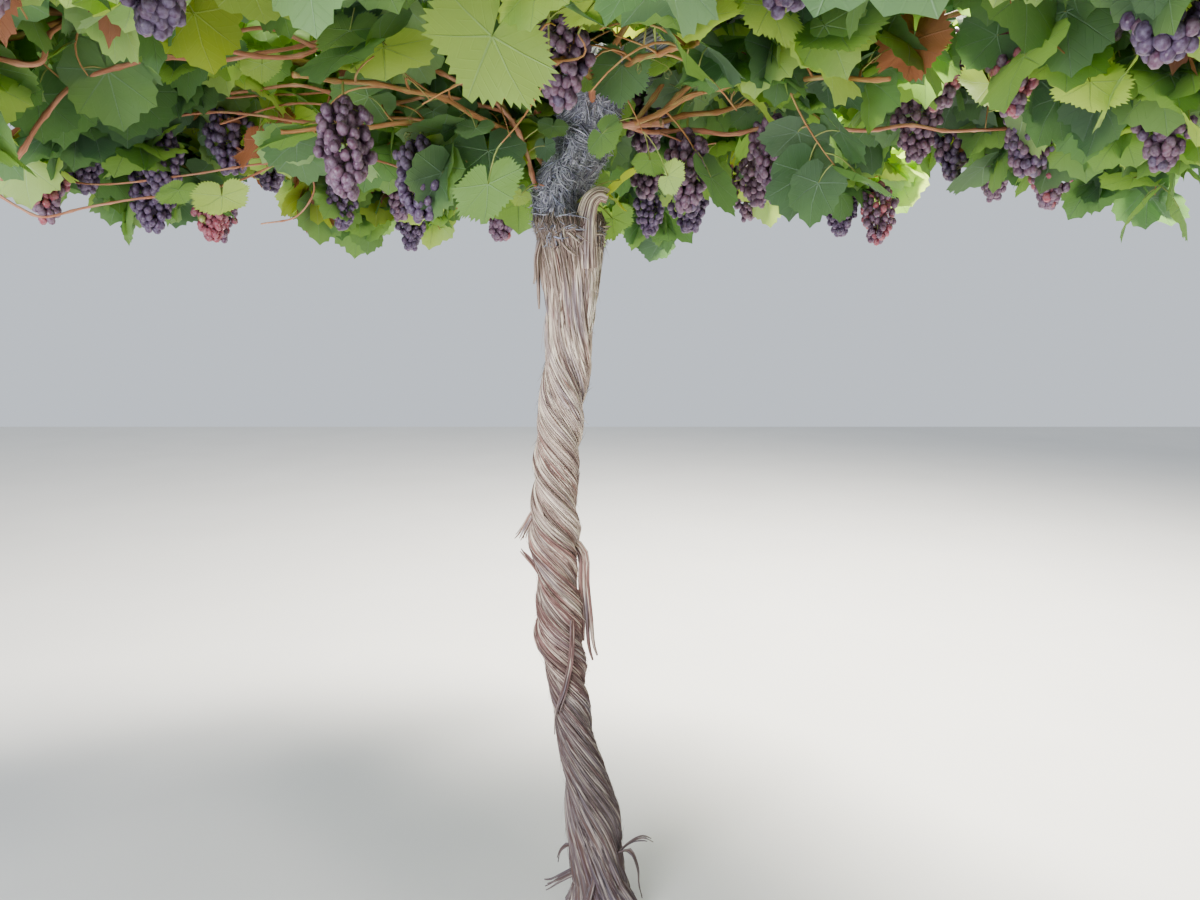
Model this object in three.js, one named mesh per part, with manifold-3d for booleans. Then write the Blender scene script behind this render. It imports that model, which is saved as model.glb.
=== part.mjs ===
// A pergola grapevine: one twisted trunk, a dark shaggy head, four arms and a flat leafy crown with bunches.
// Millimetres, +Z up, +X to the right and +Y away from the viewer. The origin is on the ground,
// under the trunk.
import * as THREE from 'three';
import { LoftGeometry } from 'three/addons/geometries/LoftGeometry.js';
import { mergeVertices } from 'three/addons/utils/BufferGeometryUtils.js';
import Module from 'manifold-3d';

const wasm = await Module();
wasm.setup();

// Driving dimensions
const CLEARANCE = 0.3;
const SMALLEST_EDGE = 0.03;
const TRUNK_TOP = 1600;
const CROWN_RADIUS = 1500;
const CROWN_BOTTOM = 1560;
const CROWN_TOP = 2260;
const INNER_CROWN_RADIUS = 700;
const SEED = 4.7;

// The trunk's middle line and thickness: height, lean to the right, lean back, radius
const TRUNK_STATIONS = [
  [0, 0, 0, 56],
  [110, -10, 2, 54],
  [230, -21, 5, 60],
  [320, -38, 7, 48],
  [453, -66, 6, 40],
  [590, -84, 0, 44],
  [690, -99, -6, 52],
  [760, -97, -7, 48],
  [830, -105, -6, 42],
  [900, -109, -4, 54],
  [990, -106, 0, 48],
  [1170, -94, 6, 48],
  [1345, -72, 6, 50],
  [1430, -64, 4, 51],
  [1540, -64, 4, 61],
  [TRUNK_TOP, -71, 6, 69],
];
const TRUNK_SIDES = 15;
const TRUNK_STEP = 38;

// How fast the bark winds round the trunk: height, radians per metre
const TWIST_STATIONS = [[0, 4.5], [200, 5], [640, 20], [1150, 20], [1430, 2], [2000, 1]];

// The trunk's section is fluted: ridges round the trunk, share of the radius, angle of the first ridge
const FLUTES = [[3, 0.07, 0.6], [4, 0.05, 2.1]];
const HEAD_FLUTES = [[3, 0.08, 1.2], [5, 0.05, 0.3]];
const FLARE_WIDTH = 20;
const FLARE_HEIGHT = 45;
const FLARE_ROOTS = 4;
const FLARE_ROOT_DEPTH = 0.45;

// The head above the fork, with the same columns as the trunk
const HEAD_STATIONS = [
  [TRUNK_TOP + CLEARANCE, -92, 14, 47],
  [1660, -93, 27, 55],
  [1735, -56, 32, 60],
  [1805, -35, 32, 57],
  [1870, -14, 30, 62],
  [1920, -3, 28, 57],
  [1950, 2, 28, 32],
];
const HEAD_SIDES = 12;
const HEAD_STEP = 29;

// The stub of a limb pruned long ago: its middle line and its radius at both ends
const STUB_LINE = [
  [-36, -6, TRUNK_TOP + CLEARANCE],
  [-33, -10, 1630],
  [-20, -13, 1654],
  [2, -14, 1661],
  [15, -13, 1648],
];
const STUB_RADII = [24, 13];
const STUB_SIDES = 9;
const STUB_STEPS = 9;

// Arms run out from the head between the inner masses.
// Each bend is given by its shares of the reach, of the climb and of the wander to one side
const ARM_COUNT = 4;
const ARM_ANGLE = 45;
const ARM_REACH = 450;
const ARM_ROOT_HEIGHT = 1886;
const ARM_TIP_HEIGHT = 1962;
const ARM_RADII = [29, 20];
const ARM_WANDER = 14;
const ARM_BENDS = [[0.4, 0.55, 1], [0.7, 0.9, -1], [0.92, 1, 0]];
const ARM_SIDES = 7;
const ARM_STEPS = 9;

// Two canes leave each arm's tip straight, then bend apart on their way to the outer masses
const CANES_PER_ARM = 2;
const CANE_SPACING = 20;
const CANE_RADII = [8.5, 6.5];
const CANE_STRAIGHT = 40;
const CANE_BEND_ANGLE = 15;
const CANE_BEND_REACH = 610;
const CANE_BEND_HEIGHT = 1972;
const CANE_TIP_HEIGHT = 1976;
const CANE_TIP_REACH = 692;
const CANE_SIDES = 6;
const CANE_STEPS = 6;

// The crown is dealt out to its masses by angle: a quarter to each inner one, an eighth to each outer one
const INNER_SECTOR = 90;
const OUTER_SECTOR = 45;
const OUTER_SPACE_START = 688;

// Masses: a stem forks into shoots, which carry leaves by turns left and right, and bunches under them
const STEM_LENGTH = 130;
const STEM_RADII = [7, 7.5];
const SHOOT_RADII = [6, 4];
const TWIG_SIDES = 3;
const SHOOT_BENDS = 4;
const NODE_SPACING = 122;
const OUTER_SHOOTS = 5;
const INNER_SHOOTS = 4;
const SHOOT_TIP_HEIGHTS = [1790, 2090, 1890, 2130, 1750];
const SHOOT_LIFT = 130;
const HIGH_SHOOT = 1950;
const LOW_SHOOT_LIFT = 0.35;
const SHOOT_MIDDLE = 0.45;
const SHOOT_TIP_SETBACK = [45, 105];
const SHOOT_FORKS = [0.5, 0.9];
const SHOOT_SPREAD = 0.86;
const SHOOT_NARROWING = 0.08;
const SHOOT_SWAY = 70;
const SHOOT_TRIES = 5;
const LIMB_ROOM = 4;
const SPACE_ROOM = 1.5;

// How a leaf stands on its node: degrees aside from the shoot, degrees above level, degrees of roll,
// and its scale. Every fourth try looks to the other side, and each try makes the leaf a little smaller
const NODE_SETBACK = 0.62;
const LEAF_SWING = [50, 110];
const LEAF_PITCH = [-62, 40];
const LEAF_ROLL = [-35, 35];
const LEAF_SCALE = [0.86, 1.14];
const LEAF_SHRINK = 0.02;
const LEAF_TRIES = 14;
const TRIES_PER_TURN = 4;
const KEYS_PER_MASS = 7;

// One leaf with its stalk: points from the root to the tip, as shares of its length, half width and length
const LEAF_LENGTH = 265;
const LEAF_WIDTH = 205;
const LEAF_THICKNESS = 3;
const LEAF_OUTLINE = [
  [0, 0, 0],
  [0.3, 0.72, -0.03],
  [0.62, 1, -0.07],
  [1, 0, -0.16],
  [0.62, -1, -0.07],
  [0.3, -0.72, -0.03],
];
const LEAF_CENTRE = [0.52, 0.02];

// One bunch: depth below the shoot and radius of each ring
const BUNCH_RINGS = [[0, 1.6], [34, 3.6], [62, 48], [128, 54], [212, 15]];
const BUNCH_SIDES = 6;
const BUNCH_UNEVENNESS = 0.16;
const BUNCH_STALK_RINGS = 2;

// Balls stand for the limbs where foliage is kept clear of them: how far apart, and extra room for flutes
const ARM_BALLS = 12;
const CANE_BALLS = 8;
const STUB_BALLS = 10;
const TRUNK_BALLS = 20;
const SHOOT_BALLS = 15;
const FLUTE_ROOM = 1.15;

const UP = new THREE.Vector3(0, 0, 1);
const { clamp, degToRad: radians, euclideanModulo, lerp, radToDeg } = THREE.MathUtils;

// A repeatable number from 0 to 1 for any set of whole numbers
function chance(...keys) {
  const steps = [12.9898, 78.233, 37.719, 93.989];
  const sum = keys.reduce((total, key, i) => total + key * steps[i], SEED);
  const wave = Math.sin(sum) * 43758.5453;
  return wave - Math.floor(wave);
}

// A point at an angle round the vine, a distance out from the origin, and a height
function polar(degrees, distance, height) {
  return new THREE.Vector3(distance, 0, height).applyAxisAngle(UP, radians(degrees));
}

// A closed geometry becomes a solid once its shared corners are merged and its flat slivers are dropped
function solidOf(geometry) {
  const plain = new THREE.BufferGeometry().copy(geometry);
  plain.deleteAttribute('normal');
  plain.deleteAttribute('uv');
  const merged = mergeVertices(plain, 1e-3);
  const corners = merged.index.array;
  const triangles = [];
  for (let i = 0; i < corners.length; i += 3) {
    const [a, b, c] = [corners[i], corners[i + 1], corners[i + 2]];
    if (a !== b && b !== c && c !== a) triangles.push(a, b, c);
  }
  return new wasm.Manifold(new wasm.Mesh({
    numProp: 3,
    vertProperties: new Float32Array(merged.attributes.position.array),
    triVerts: new Uint32Array(triangles),
  }));
}

function geometryOf(solid) {
  const { vertProperties, triVerts } = solid.getMesh();
  const geometry = new THREE.BufferGeometry();
  geometry.setAttribute('position', new THREE.BufferAttribute(vertProperties, 3));
  geometry.setIndex(new THREE.BufferAttribute(triVerts, 1));
  return geometry;
}

// Joined pieces can seal a hollow or leave a scrap, so only the largest shell is kept,
// once before and once after close corners are merged
function largestShell(solid) {
  const larger = (best, next) => (next.volume() > best.volume() ? next : best);
  const largest = (shells) => shells.reduce(larger);
  const shell = largest(solid.simplify(SMALLEST_EDGE).decompose());
  return largest(solidOf(geometryOf(shell)).decompose());
}

function join(solids) {
  return largestShell(solids.reduce((total, solid) => total.add(solid)));
}

function meshOf(name, solid, material) {
  const geometry = geometryOf(solid);
  geometry.computeVertexNormals();
  const mesh = new THREE.Mesh(geometry, material);
  mesh.name = name;
  return mesh;
}

// A smooth line through rows of [height, ...values]:
// each stretch leaves and arrives along its neighbours' slope
function stationAt(stations, height) {
  const last = stations.length - 1;
  let i = 0;
  while (i < last - 1 && stations[i + 1][0] < height) i += 1;
  const before = stations[Math.max(i - 1, 0)];
  const start = stations[i];
  const end = stations[i + 1];
  const after = stations[Math.min(i + 2, last)];
  const span = end[0] - start[0];
  const t = clamp((height - start[0]) / span, 0, 1);
  return start.slice(1).map((value, k) => {
    const column = k + 1;
    const leaving = (end[column] - before[column]) / (end[0] - before[0]) * span;
    const arriving = (after[column] - start[column]) / (after[0] - start[0]) * span;
    const ease = t * t * (3 - 2 * t);
    return value * (1 - ease) + end[column] * ease + t * (1 - t) * ((1 - t) * leaving - t * arriving);
  });
}

// The angle that the bark has wound through at a height, the other way round from a common screw
function twistAt(height) {
  let angle = 0;
  for (let i = 0; i < TWIST_STATIONS.length - 1; i += 1) {
    const [low, lowRate] = TWIST_STATIONS[i];
    const [high, highRate] = TWIST_STATIONS[i + 1];
    const rise = clamp(height - low, 0, high - low);
    const rate = lowRate + (highRate - lowRate) * rise / (high - low) / 2;
    angle -= rate * rise / 1000;
  }
  return angle;
}

// How far the section stands out at an angle, as a share of its radius
function fluteAt(flutes, angle) {
  return flutes.reduce((total, [count, depth, phase]) => total + depth * Math.cos(count * angle + phase), 1);
}

// The foot spreads into low roots just above the flat cut
function flareAt(height, angle) {
  const roots = 1 + FLARE_ROOT_DEPTH * Math.cos(FLARE_ROOTS * angle + 1);
  return FLARE_WIDTH * Math.exp(-height / FLARE_HEIGHT) * roots;
}

// Level rings up a stem, wound by the bark's twist
function stemSections(stations, sides, step, flutes, swell) {
  const bottom = stations[0][0];
  const top = stations[stations.length - 1][0];
  const count = Math.round((top - bottom) / step);
  return Array.from({ length: count + 1 }, (_, ring) => {
    const height = bottom + (top - bottom) * ring / count;
    const [right, back, radius] = stationAt(stations, height);
    const twist = twistAt(height);
    return Array.from({ length: sides }, (__, side) => {
      const angle = side / sides * Math.PI * 2;
      const reach = radius * fluteAt(flutes, angle) + swell(height, angle);
      return new THREE.Vector3(
        right + reach * Math.cos(angle + twist),
        back + reach * Math.sin(angle + twist),
        height,
      );
    });
  });
}

// Rings square to a curve, each as wide as radiusAt says
function limbSections(curve, radiusAt, sides, steps) {
  const frames = curve.computeFrenetFrames(steps, false);
  return Array.from({ length: steps + 1 }, (_, ring) => {
    const centre = curve.getPointAt(ring / steps);
    const radius = radiusAt(ring / steps);
    return Array.from({ length: sides }, (__, side) => {
      const angle = side / sides * Math.PI * 2;
      return centre.clone()
        .addScaledVector(frames.normals[ring], radius * Math.cos(angle))
        .addScaledVector(frames.binormals[ring], radius * Math.sin(angle));
    });
  });
}

function capped(sections) {
  return solidOf(new LoftGeometry(sections, { capStart: true, capEnd: true }));
}

function taper([start, end]) {
  return (t) => lerp(start, end, t);
}

function limb(curve, radii, sides, steps) {
  return capped(limbSections(curve, taper(radii), sides, steps));
}

// The width of a loose bark strip's ends, as a share of its middle's
const STRIP_END_WIDTH = 0.45;

// A loose strip of bark: a thin flat ribbon that stands off the trunk, narrowest at both ends.
// The line's points are given round the trunk: height, degrees from the right, distance off the bark
function barkStrip([width, thickness, line]) {
  const points = line.map(([height, degrees, off]) => {
    const [right, back, radius] = stationAt(TRUNK_STATIONS, height);
    const reach = radius + off;
    return new THREE.Vector3(
      right + reach * Math.cos(radians(degrees)),
      back + reach * Math.sin(radians(degrees)),
      height,
    );
  });
  const curve = new THREE.CatmullRomCurve3(points);
  const steps = line.length * 2;
  return capped(Array.from({ length: steps + 1 }, (_, ring) => {
    const t = ring / steps;
    const centre = curve.getPointAt(t);
    const [right, back] = stationAt(TRUNK_STATIONS, centre.z);
    const outward = new THREE.Vector3(centre.x - right, centre.y - back, 0).normalize();
    const across = new THREE.Vector3().crossVectors(curve.getTangentAt(t), outward).normalize();
    const half = width / 2 * lerp(STRIP_END_WIDTH, 1, Math.sin(Math.PI * t));
    return [[1, 1], [1, -1], [-1, -1], [-1, 1]].map(([side, face]) => centre.clone()
      .addScaledVector(across, side * half)
      .addScaledVector(outward, face * thickness / 2));
  }));
}

// The larger strips that have come away from the trunk, each with its width, its thickness and its line:
// height, degrees from the right, distance off the bark
const BARK_STRIPS = [
  [20, 4, [[800, -25, -6], [770, -20, 12], [690, -12, 20], [610, -8, 26], [575, -4, 40]]],
  [26, 4, [[1580, 190, -8], [1540, 188, 10], [1480, 192, 12], [1420, 196, 8]]],
  [12, 3, [[690, -45, -6], [640, -70, 6], [560, -100, 8], [480, -125, 6], [455, -130, 2]]],
  [20, 4, [[150, -50, -6], [120, -35, 16], [95, -18, 45], [100, -8, 78]]],
  [14, 4, [[120, -75, -6], [85, -60, 12], [45, -52, 30], [26, -50, 34]]],
  [18, 4, [[130, 210, -6], [100, 200, 14], [70, 195, 36], [50, 192, 58]]],
];

// The trunk: fluted and twisted from the flat cut at the ground to the fork, with its loose bark
function makeTrunk() {
  const body = capped(stemSections(TRUNK_STATIONS, TRUNK_SIDES, TRUNK_STEP, FLUTES, flareAt));
  return join([body, ...BARK_STRIPS.map(barkStrip)]);
}

// The head, grown by an extra distance where other pieces are cut clear of it
function makeHead(extra) {
  const sections = stemSections(HEAD_STATIONS, HEAD_SIDES, HEAD_STEP, HEAD_FLUTES, () => extra);
  const grown = sections.map((section, ring) => {
    const end = ring === 0 ? -1 : Number(ring === sections.length - 1);
    return section.map((point) => point.clone().setZ(point.z + end * extra));
  });
  return capped(grown);
}

const head = makeHead(0);
const headRoom = makeHead(CLEARANCE * 2);
const stubCurve = new THREE.CatmullRomCurve3(STUB_LINE.map((point) => new THREE.Vector3(...point)));

function makeStub() {
  const sections = limbSections(stubCurve, taper(STUB_RADII), STUB_SIDES, STUB_STEPS);
  sections[0].forEach((point) => point.setZ(TRUNK_TOP + CLEARANCE));
  return largestShell(capped(sections).subtract(headRoom));
}

// An arm's middle line wanders a little to each side and climbs to its tip
function armCurve(index) {
  const angle = ARM_ANGLE + index * 360 / ARM_COUNT;
  const [right, back] = stationAt(HEAD_STATIONS, ARM_ROOT_HEIGHT);
  const root = new THREE.Vector3(right, back, ARM_ROOT_HEIGHT);
  const sway = (chance(index, 1) - 0.5) * 2;
  const points = ARM_BENDS.map(([share, climb, side]) => {
    const height = lerp(ARM_ROOT_HEIGHT, ARM_TIP_HEIGHT, climb);
    const aside = polar(angle + 90, sway * ARM_WANDER * side, 0);
    return polar(angle, ARM_REACH * share, height).add(aside);
  });
  return new THREE.CatmullRomCurve3([root, ...points, polar(angle, ARM_REACH, ARM_TIP_HEIGHT)]);
}

const armCurves = Array.from({ length: ARM_COUNT }, (_, i) => armCurve(i));

// Two canes start side by side on an arm's flat tip and part towards their masses
function caneCurve(index) {
  const arm = armCurves[Math.floor(index / CANES_PER_ARM)];
  const angle = ARM_ANGLE + Math.floor(index / CANES_PER_ARM) * 360 / ARM_COUNT;
  const turn = index % CANES_PER_ARM === 0 ? -1 : 1;
  const along = arm.getTangentAt(1);
  const aside = new THREE.Vector3().crossVectors(UP, along).setLength(turn * CANE_SPACING / 2);
  const root = arm.getPointAt(1).add(aside).addScaledVector(along, CLEARANCE);
  return new THREE.CatmullRomCurve3([
    root,
    root.clone().addScaledVector(along, CANE_STRAIGHT).addScaledVector(aside, 0.5),
    polar(angle + turn * CANE_BEND_ANGLE, CANE_BEND_REACH, CANE_BEND_HEIGHT),
    polar(angle + turn * OUTER_SECTOR / 2, CANE_TIP_REACH, CANE_TIP_HEIGHT),
  ]);
}

const caneCurves = Array.from({ length: ARM_COUNT * CANES_PER_ARM }, (_, i) => caneCurve(i));

// A cane's root is cut parallel to the arm's flat tip, just clear of it
function makeCane(curve, index) {
  const arm = armCurves[Math.floor(index / CANES_PER_ARM)];
  const tip = arm.getPointAt(1);
  const along = arm.getTangentAt(1);
  const sections = limbSections(curve, taper(CANE_RADII), CANE_SIDES, CANE_STEPS);
  sections[0].forEach((point) => {
    const ahead = point.clone().sub(tip).dot(along);
    point.addScaledVector(along, CLEARANCE - ahead);
  });
  return capped(sections);
}

// Balls along every limb, which leaves, shoots and bunches keep clear of
function ballsAlong(curve, radii, spacing) {
  const count = Math.ceil(curve.getLength() / spacing);
  return Array.from({ length: count + 1 }, (_, i) => ({
    centre: curve.getPointAt(i / count),
    radius: lerp(...radii, i / count),
  }));
}

function stationBalls(stations) {
  const bottom = stations[0][0];
  const top = stations[stations.length - 1][0];
  const count = Math.ceil((top - bottom) / TRUNK_BALLS);
  return Array.from({ length: count + 1 }, (_, i) => {
    const height = lerp(bottom, top, i / count);
    const [right, back, radius] = stationAt(stations, height);
    return { centre: new THREE.Vector3(right, back, height), radius: radius * FLUTE_ROOM };
  });
}

const limbBalls = [
  ...armCurves.flatMap((curve) => ballsAlong(curve, ARM_RADII, ARM_BALLS)),
  ...caneCurves.flatMap((curve) => ballsAlong(curve, CANE_RADII, CANE_BALLS)),
  ...stationBalls(HEAD_STATIONS),
  ...stationBalls(TRUNK_STATIONS.slice(-4)),
  ...ballsAlong(stubCurve, STUB_RADII, STUB_BALLS),
];

// The room that a mass keeps to: a sector of the crown between two distances out and two heights
function inSpace(space, point) {
  const distance = Math.hypot(point.x, point.y);
  const bearing = radToDeg(Math.atan2(point.y, point.x));
  const off = euclideanModulo(bearing - space.angle + 180, 360) - 180;
  const toSide = Math.sin(radians(space.halfAngle - Math.abs(off))) * distance;
  const near = Math.abs(off) < 90 && toSide > SPACE_ROOM;
  const within = distance > space.inner + SPACE_ROOM && distance < space.outer - SPACE_ROOM;
  return near && within && point.z > CROWN_BOTTOM && point.z < CROWN_TOP;
}

// True when no corner of a triangle list leaves the mass's space and no face comes near a limb,
// apart from the one that the mass starts on
function fits(mass, triangles) {
  if (!triangles.flat().every((point) => inSpace(mass.space, point))) return false;
  const box = new THREE.Box3().setFromPoints(triangles.flat());
  const closest = new THREE.Vector3();
  return !limbBalls.some(({ centre, radius }) => {
    const room = radius + LIMB_ROOM;
    if (box.distanceToPoint(centre) > room || mass.start.distanceTo(centre) < room + 2) return false;
    return triangles.some(([a, b, c]) => {
      new THREE.Triangle(a, b, c).closestPointToPoint(centre, closest);
      return closest.distanceTo(centre) < room;
    });
  });
}

// True when an edge of one surface passes through a face of the other
function pierces(edgesOf, facesOf) {
  const ray = new THREE.Ray();
  const hit = new THREE.Vector3();
  return edgesOf.some((triangle) => triangle.some((from, i) => {
    const to = triangle[(i + 1) % 3];
    ray.set(from, to.clone().sub(from).normalize());
    return facesOf.some(([a, b, c]) => (
      ray.intersectTriangle(a, b, c, false, hit) && hit.distanceTo(from) < from.distanceTo(to)));
  }));
}

// True when a new surface crosses none of those already in the mass, apart from the shoot that carries it
function clearOf(placed, triangles, shoot) {
  const box = new THREE.Box3().setFromPoints(triangles.flat());
  return !placed.some((other) => other.shoot !== shoot && other.box.intersectsBox(box)
    && (pierces(triangles, other.triangles) || pierces(other.triangles, triangles)));
}

// The sides of a tube, or of a hanging bunch, as triangles
function sideTriangles(sections) {
  return sections.slice(1).flatMap((section, ring) => section.flatMap((point, i) => {
    const next = (i + 1) % section.length;
    const below = sections[ring];
    return [[point, section[next], below[i]], [section[next], below[next], below[i]]];
  }));
}

// A leaf grows from its root along a direction, turned about it by a roll, and folds a little down its middle
function leafPoints(root, direction, roll, scale) {
  const along = direction.clone().normalize();
  const across = new THREE.Vector3().crossVectors(UP, along).normalize().applyAxisAngle(along, roll);
  const face = new THREE.Vector3().crossVectors(along, across);
  const place = (share, side, rise) => root.clone()
    .addScaledVector(along, share * LEAF_LENGTH * scale)
    .addScaledVector(across, side * LEAF_WIDTH / 2 * scale)
    .addScaledVector(face, rise * LEAF_LENGTH * scale);
  const outline = LEAF_OUTLINE.map(([share, side, rise]) => place(share, side, rise));
  const middle = place(LEAF_CENTRE[0], 0, LEAF_CENTRE[1]);
  return { outline, middle, face };
}

function leafTriangles({ outline, middle }) {
  return outline.map((point, i) => [point, outline[(i + 1) % outline.length], middle]);
}

// A thin lens of a blade, with the stalk's full thickness at its root
function leafSolid({ outline, middle, face }) {
  const [lower, upper] = [-0.5, 0.5].map((side) => {
    const off = face.clone().multiplyScalar(side * LEAF_THICKNESS);
    const ring = outline.map((point, i) => (i === 0 ? point.clone().add(off) : point));
    return { ring, middle: outline.map(() => middle.clone().add(off)) };
  });
  return solidOf(new LoftGeometry([upper.middle, upper.ring, lower.ring, lower.middle]));
}

// A bunch hangs straight down from its shoot, widest below its shoulders and a little uneven
function bunchSections(root, keys) {
  return BUNCH_RINGS.map(([depth, radius], ring) => Array.from({ length: BUNCH_SIDES }, (_, side) => {
    const angle = (side + (ring % 2) / 2) / BUNCH_SIDES * Math.PI * 2;
    const swell = BUNCH_UNEVENNESS * (chance(...keys, ring * 10 + side) - 0.5) * 2;
    const uneven = ring < BUNCH_STALK_RINGS ? 1 : 1 + swell;
    return new THREE.Vector3(
      root.x - radius * uneven * Math.cos(angle),
      root.y + radius * uneven * Math.sin(angle),
      root.z - depth,
    );
  }));
}

// Every shoot of every mass has a number of its own, which its leaves' chances are keyed by
function massKey(mass, index) {
  return mass.number * KEYS_PER_MASS + index;
}

// A shoot leaves the stem, arches over and runs to its own place on the mass's rim
function shootCurve(mass, stem, index, attempt) {
  const { space, shoots, number } = mass;
  const share = index / (shoots - 1) * 2 - 1;
  const fork = stem.getPointAt(lerp(SHOOT_FORKS[1], SHOOT_FORKS[0], Math.abs(share)));
  const aim = space.angle + share * space.halfAngle * (SHOOT_SPREAD - SHOOT_NARROWING * attempt);
  const tipHeight = SHOOT_TIP_HEIGHTS[(index + number) % SHOOT_TIP_HEIGHTS.length];
  const tip = polar(aim, space.outer - lerp(...SHOOT_TIP_SETBACK, chance(number, index, 1)), tipHeight);
  const arch = SHOOT_LIFT * lerp(0.2, 1, chance(number, index, 2));
  const lift = tipHeight > HIGH_SHOOT ? arch : arch * LOW_SHOOT_LIFT;
  const middle = fork.clone().lerp(tip, SHOOT_MIDDLE).addScaledVector(UP, lift);
  const sway = (chance(number, index, 3) - 0.5) * SHOOT_SWAY;
  middle.addScaledVector(polar(aim + 90, 1, 0), sway / (attempt + 1));
  return new THREE.CatmullRomCurve3([fork, middle, tip]);
}

// True where a shoot's ball touches no limb other than the one that its mass starts on
function clearOfLimbs(mass, { centre, radius }) {
  return limbBalls.every((ball) => {
    const apart = ball.centre.distanceTo(centre) > ball.radius + radius + LIMB_ROOM;
    return apart || ball.centre.distanceTo(mass.start) < ball.radius + LIMB_ROOM;
  });
}

// The first try that keeps to the space and clear of the limbs, or nothing
function fittingShoot(mass, stem, index) {
  for (let attempt = 0; attempt < SHOOT_TRIES; attempt += 1) {
    const curve = shootCurve(mass, stem, index, attempt);
    const balls = ballsAlong(curve, SHOOT_RADII, SHOOT_BALLS);
    if (balls.every((ball) => inSpace(mass.space, ball.centre) && clearOfLimbs(mass, ball))) return curve;
  }
  return null;
}

// A shoot runs straight from bend to bend, so what it carries is rooted on those straight lines
function onShoot(curve, share) {
  const bends = curve.getSpacedPoints(SHOOT_BENDS);
  const bend = Math.min(Math.floor(share * SHOOT_BENDS), SHOOT_BENDS - 1);
  return bends[bend].clone().lerp(bends[bend + 1], share * SHOOT_BENDS - bend);
}

// One try at a leaf: by turns on one side of the shoot and the other, the rest of how it stands by chance
function triedLeaf(mass, curve, index, node, count, attempt) {
  const share = (node + NODE_SETBACK) / count;
  const heading = curve.getTangentAt(share).setZ(0).normalize();
  const other = attempt % TRIES_PER_TURN === TRIES_PER_TURN - 1;
  const side = ((node + index) % 2 === 0) === other ? -1 : 1;
  const by = ([least, most], draw) => lerp(least, most, chance(massKey(mass, index), node, attempt, draw));
  const level = heading.applyAxisAngle(UP, radians(side * by(LEAF_SWING, 1)));
  const pitch = radians(by(LEAF_PITCH, 2));
  const direction = level.multiplyScalar(Math.cos(pitch)).addScaledVector(UP, Math.sin(pitch));
  const scale = by(LEAF_SCALE, 4) - LEAF_SHRINK * attempt;
  return leafPoints(onShoot(curve, share), direction, radians(by(LEAF_ROLL, 3)), scale);
}

// The first try that keeps to the space and clear of limbs, bunches and other leaves, or nothing
function leafAt(mass, curve, index, node, count, placed) {
  for (let attempt = 0; attempt < LEAF_TRIES; attempt += 1) {
    const points = triedLeaf(mass, curve, index, node, count, attempt);
    const triangles = leafTriangles(points);
    if (fits(mass, triangles) && clearOf(placed, triangles, index)) return { points, triangles };
  }
  return null;
}

// A bunch hangs between two nodes of its shoot, where it fits
function bunchAt(mass, curve, index, node, count, placed) {
  const root = onShoot(curve, (node + NODE_SETBACK / 2) / count);
  const sections = bunchSections(root, [mass.number, index]);
  const triangles = sideTriangles(sections);
  const clear = fits(mass, triangles) && clearOf(placed, triangles, index);
  return clear ? { sections, triangles } : null;
}

// A whole mass: stem, shoots, bunches and leaves joined into one body
function makeMass(mass) {
  const stemEnd = mass.start.clone().addScaledVector(mass.heading, STEM_LENGTH);
  const stem = new THREE.CatmullRomCurve3([mass.start, mass.start.clone().lerp(stemEnd, 0.5), stemEnd]);
  const curves = Array.from({ length: mass.shoots }, (_, index) => fittingShoot(mass, stem, index));
  const parts = [limb(stem, STEM_RADII, TWIG_SIDES, 2)];
  const placed = [];
  const place = (triangles, solid, shoot) => {
    placed.push({ triangles, box: new THREE.Box3().setFromPoints(triangles.flat()), shoot });
    parts.push(solid);
  };
  const shoots = curves.map((curve, index) => ({ curve, index })).filter(({ curve }) => curve)
    .map(({ curve, index }) => ({ curve, index, count: Math.floor(curve.getLength() / NODE_SPACING) }));
  shoots.forEach(({ curve, index }) => {
    const sections = limbSections(curve, taper(SHOOT_RADII), TWIG_SIDES, SHOOT_BENDS);
    place(sideTriangles(sections), capped(sections), index);
  });
  shoots.forEach(({ curve, index, count }) => {
    mass.bunches.filter(([shoot]) => shoot === index).forEach(([, node]) => {
      const bunch = bunchAt(mass, curve, index, node, count, placed);
      if (bunch) place(bunch.triangles, capped(bunch.sections));
    });
  });
  shoots.forEach(({ curve, index, count }) => {
    for (let node = 0; node < count; node += 1) {
      const leaf = leafAt(mass, curve, index, node, count, placed);
      if (leaf) place(leaf.triangles, leafSolid(leaf.points));
    }
  });
  return join(parts);
}

// Four inner masses grow from the head, each out through its own side, at its own height and pitch.
// Bunches are given by the number of their shoot and of the node that they hang before
const INNER_STEM_START = 40;
const INNER_STEMS = [
  { name: 'inner_mass_right', root: [-40, 30, 1792], pitch: 3 },
  { name: 'inner_mass_back', root: [-24, 32, 1826], pitch: 16 },
  { name: 'inner_mass_left', root: [-90, 28, 1672], pitch: 52 },
  { name: 'inner_mass_front', root: [-22, 30, 1822], pitch: 14 },
];
const INNER_BUNCHES = [[0, 1], [2, 2], [3, 3]];
const OUTER_BUNCHES = [[0, 2], [2, 1], [4, 3]];

function innerMass({ name, root, pitch }, number) {
  const angle = number * INNER_SECTOR;
  const heading = polar(angle, Math.cos(radians(pitch)), Math.sin(radians(pitch)));
  const start = new THREE.Vector3(...root).addScaledVector(heading, INNER_STEM_START);
  const space = { angle, halfAngle: INNER_SECTOR / 2, inner: 0, outer: INNER_CROWN_RADIUS };
  return { name, number, start, heading, space, shoots: INNER_SHOOTS, bunches: INNER_BUNCHES };
}

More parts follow.
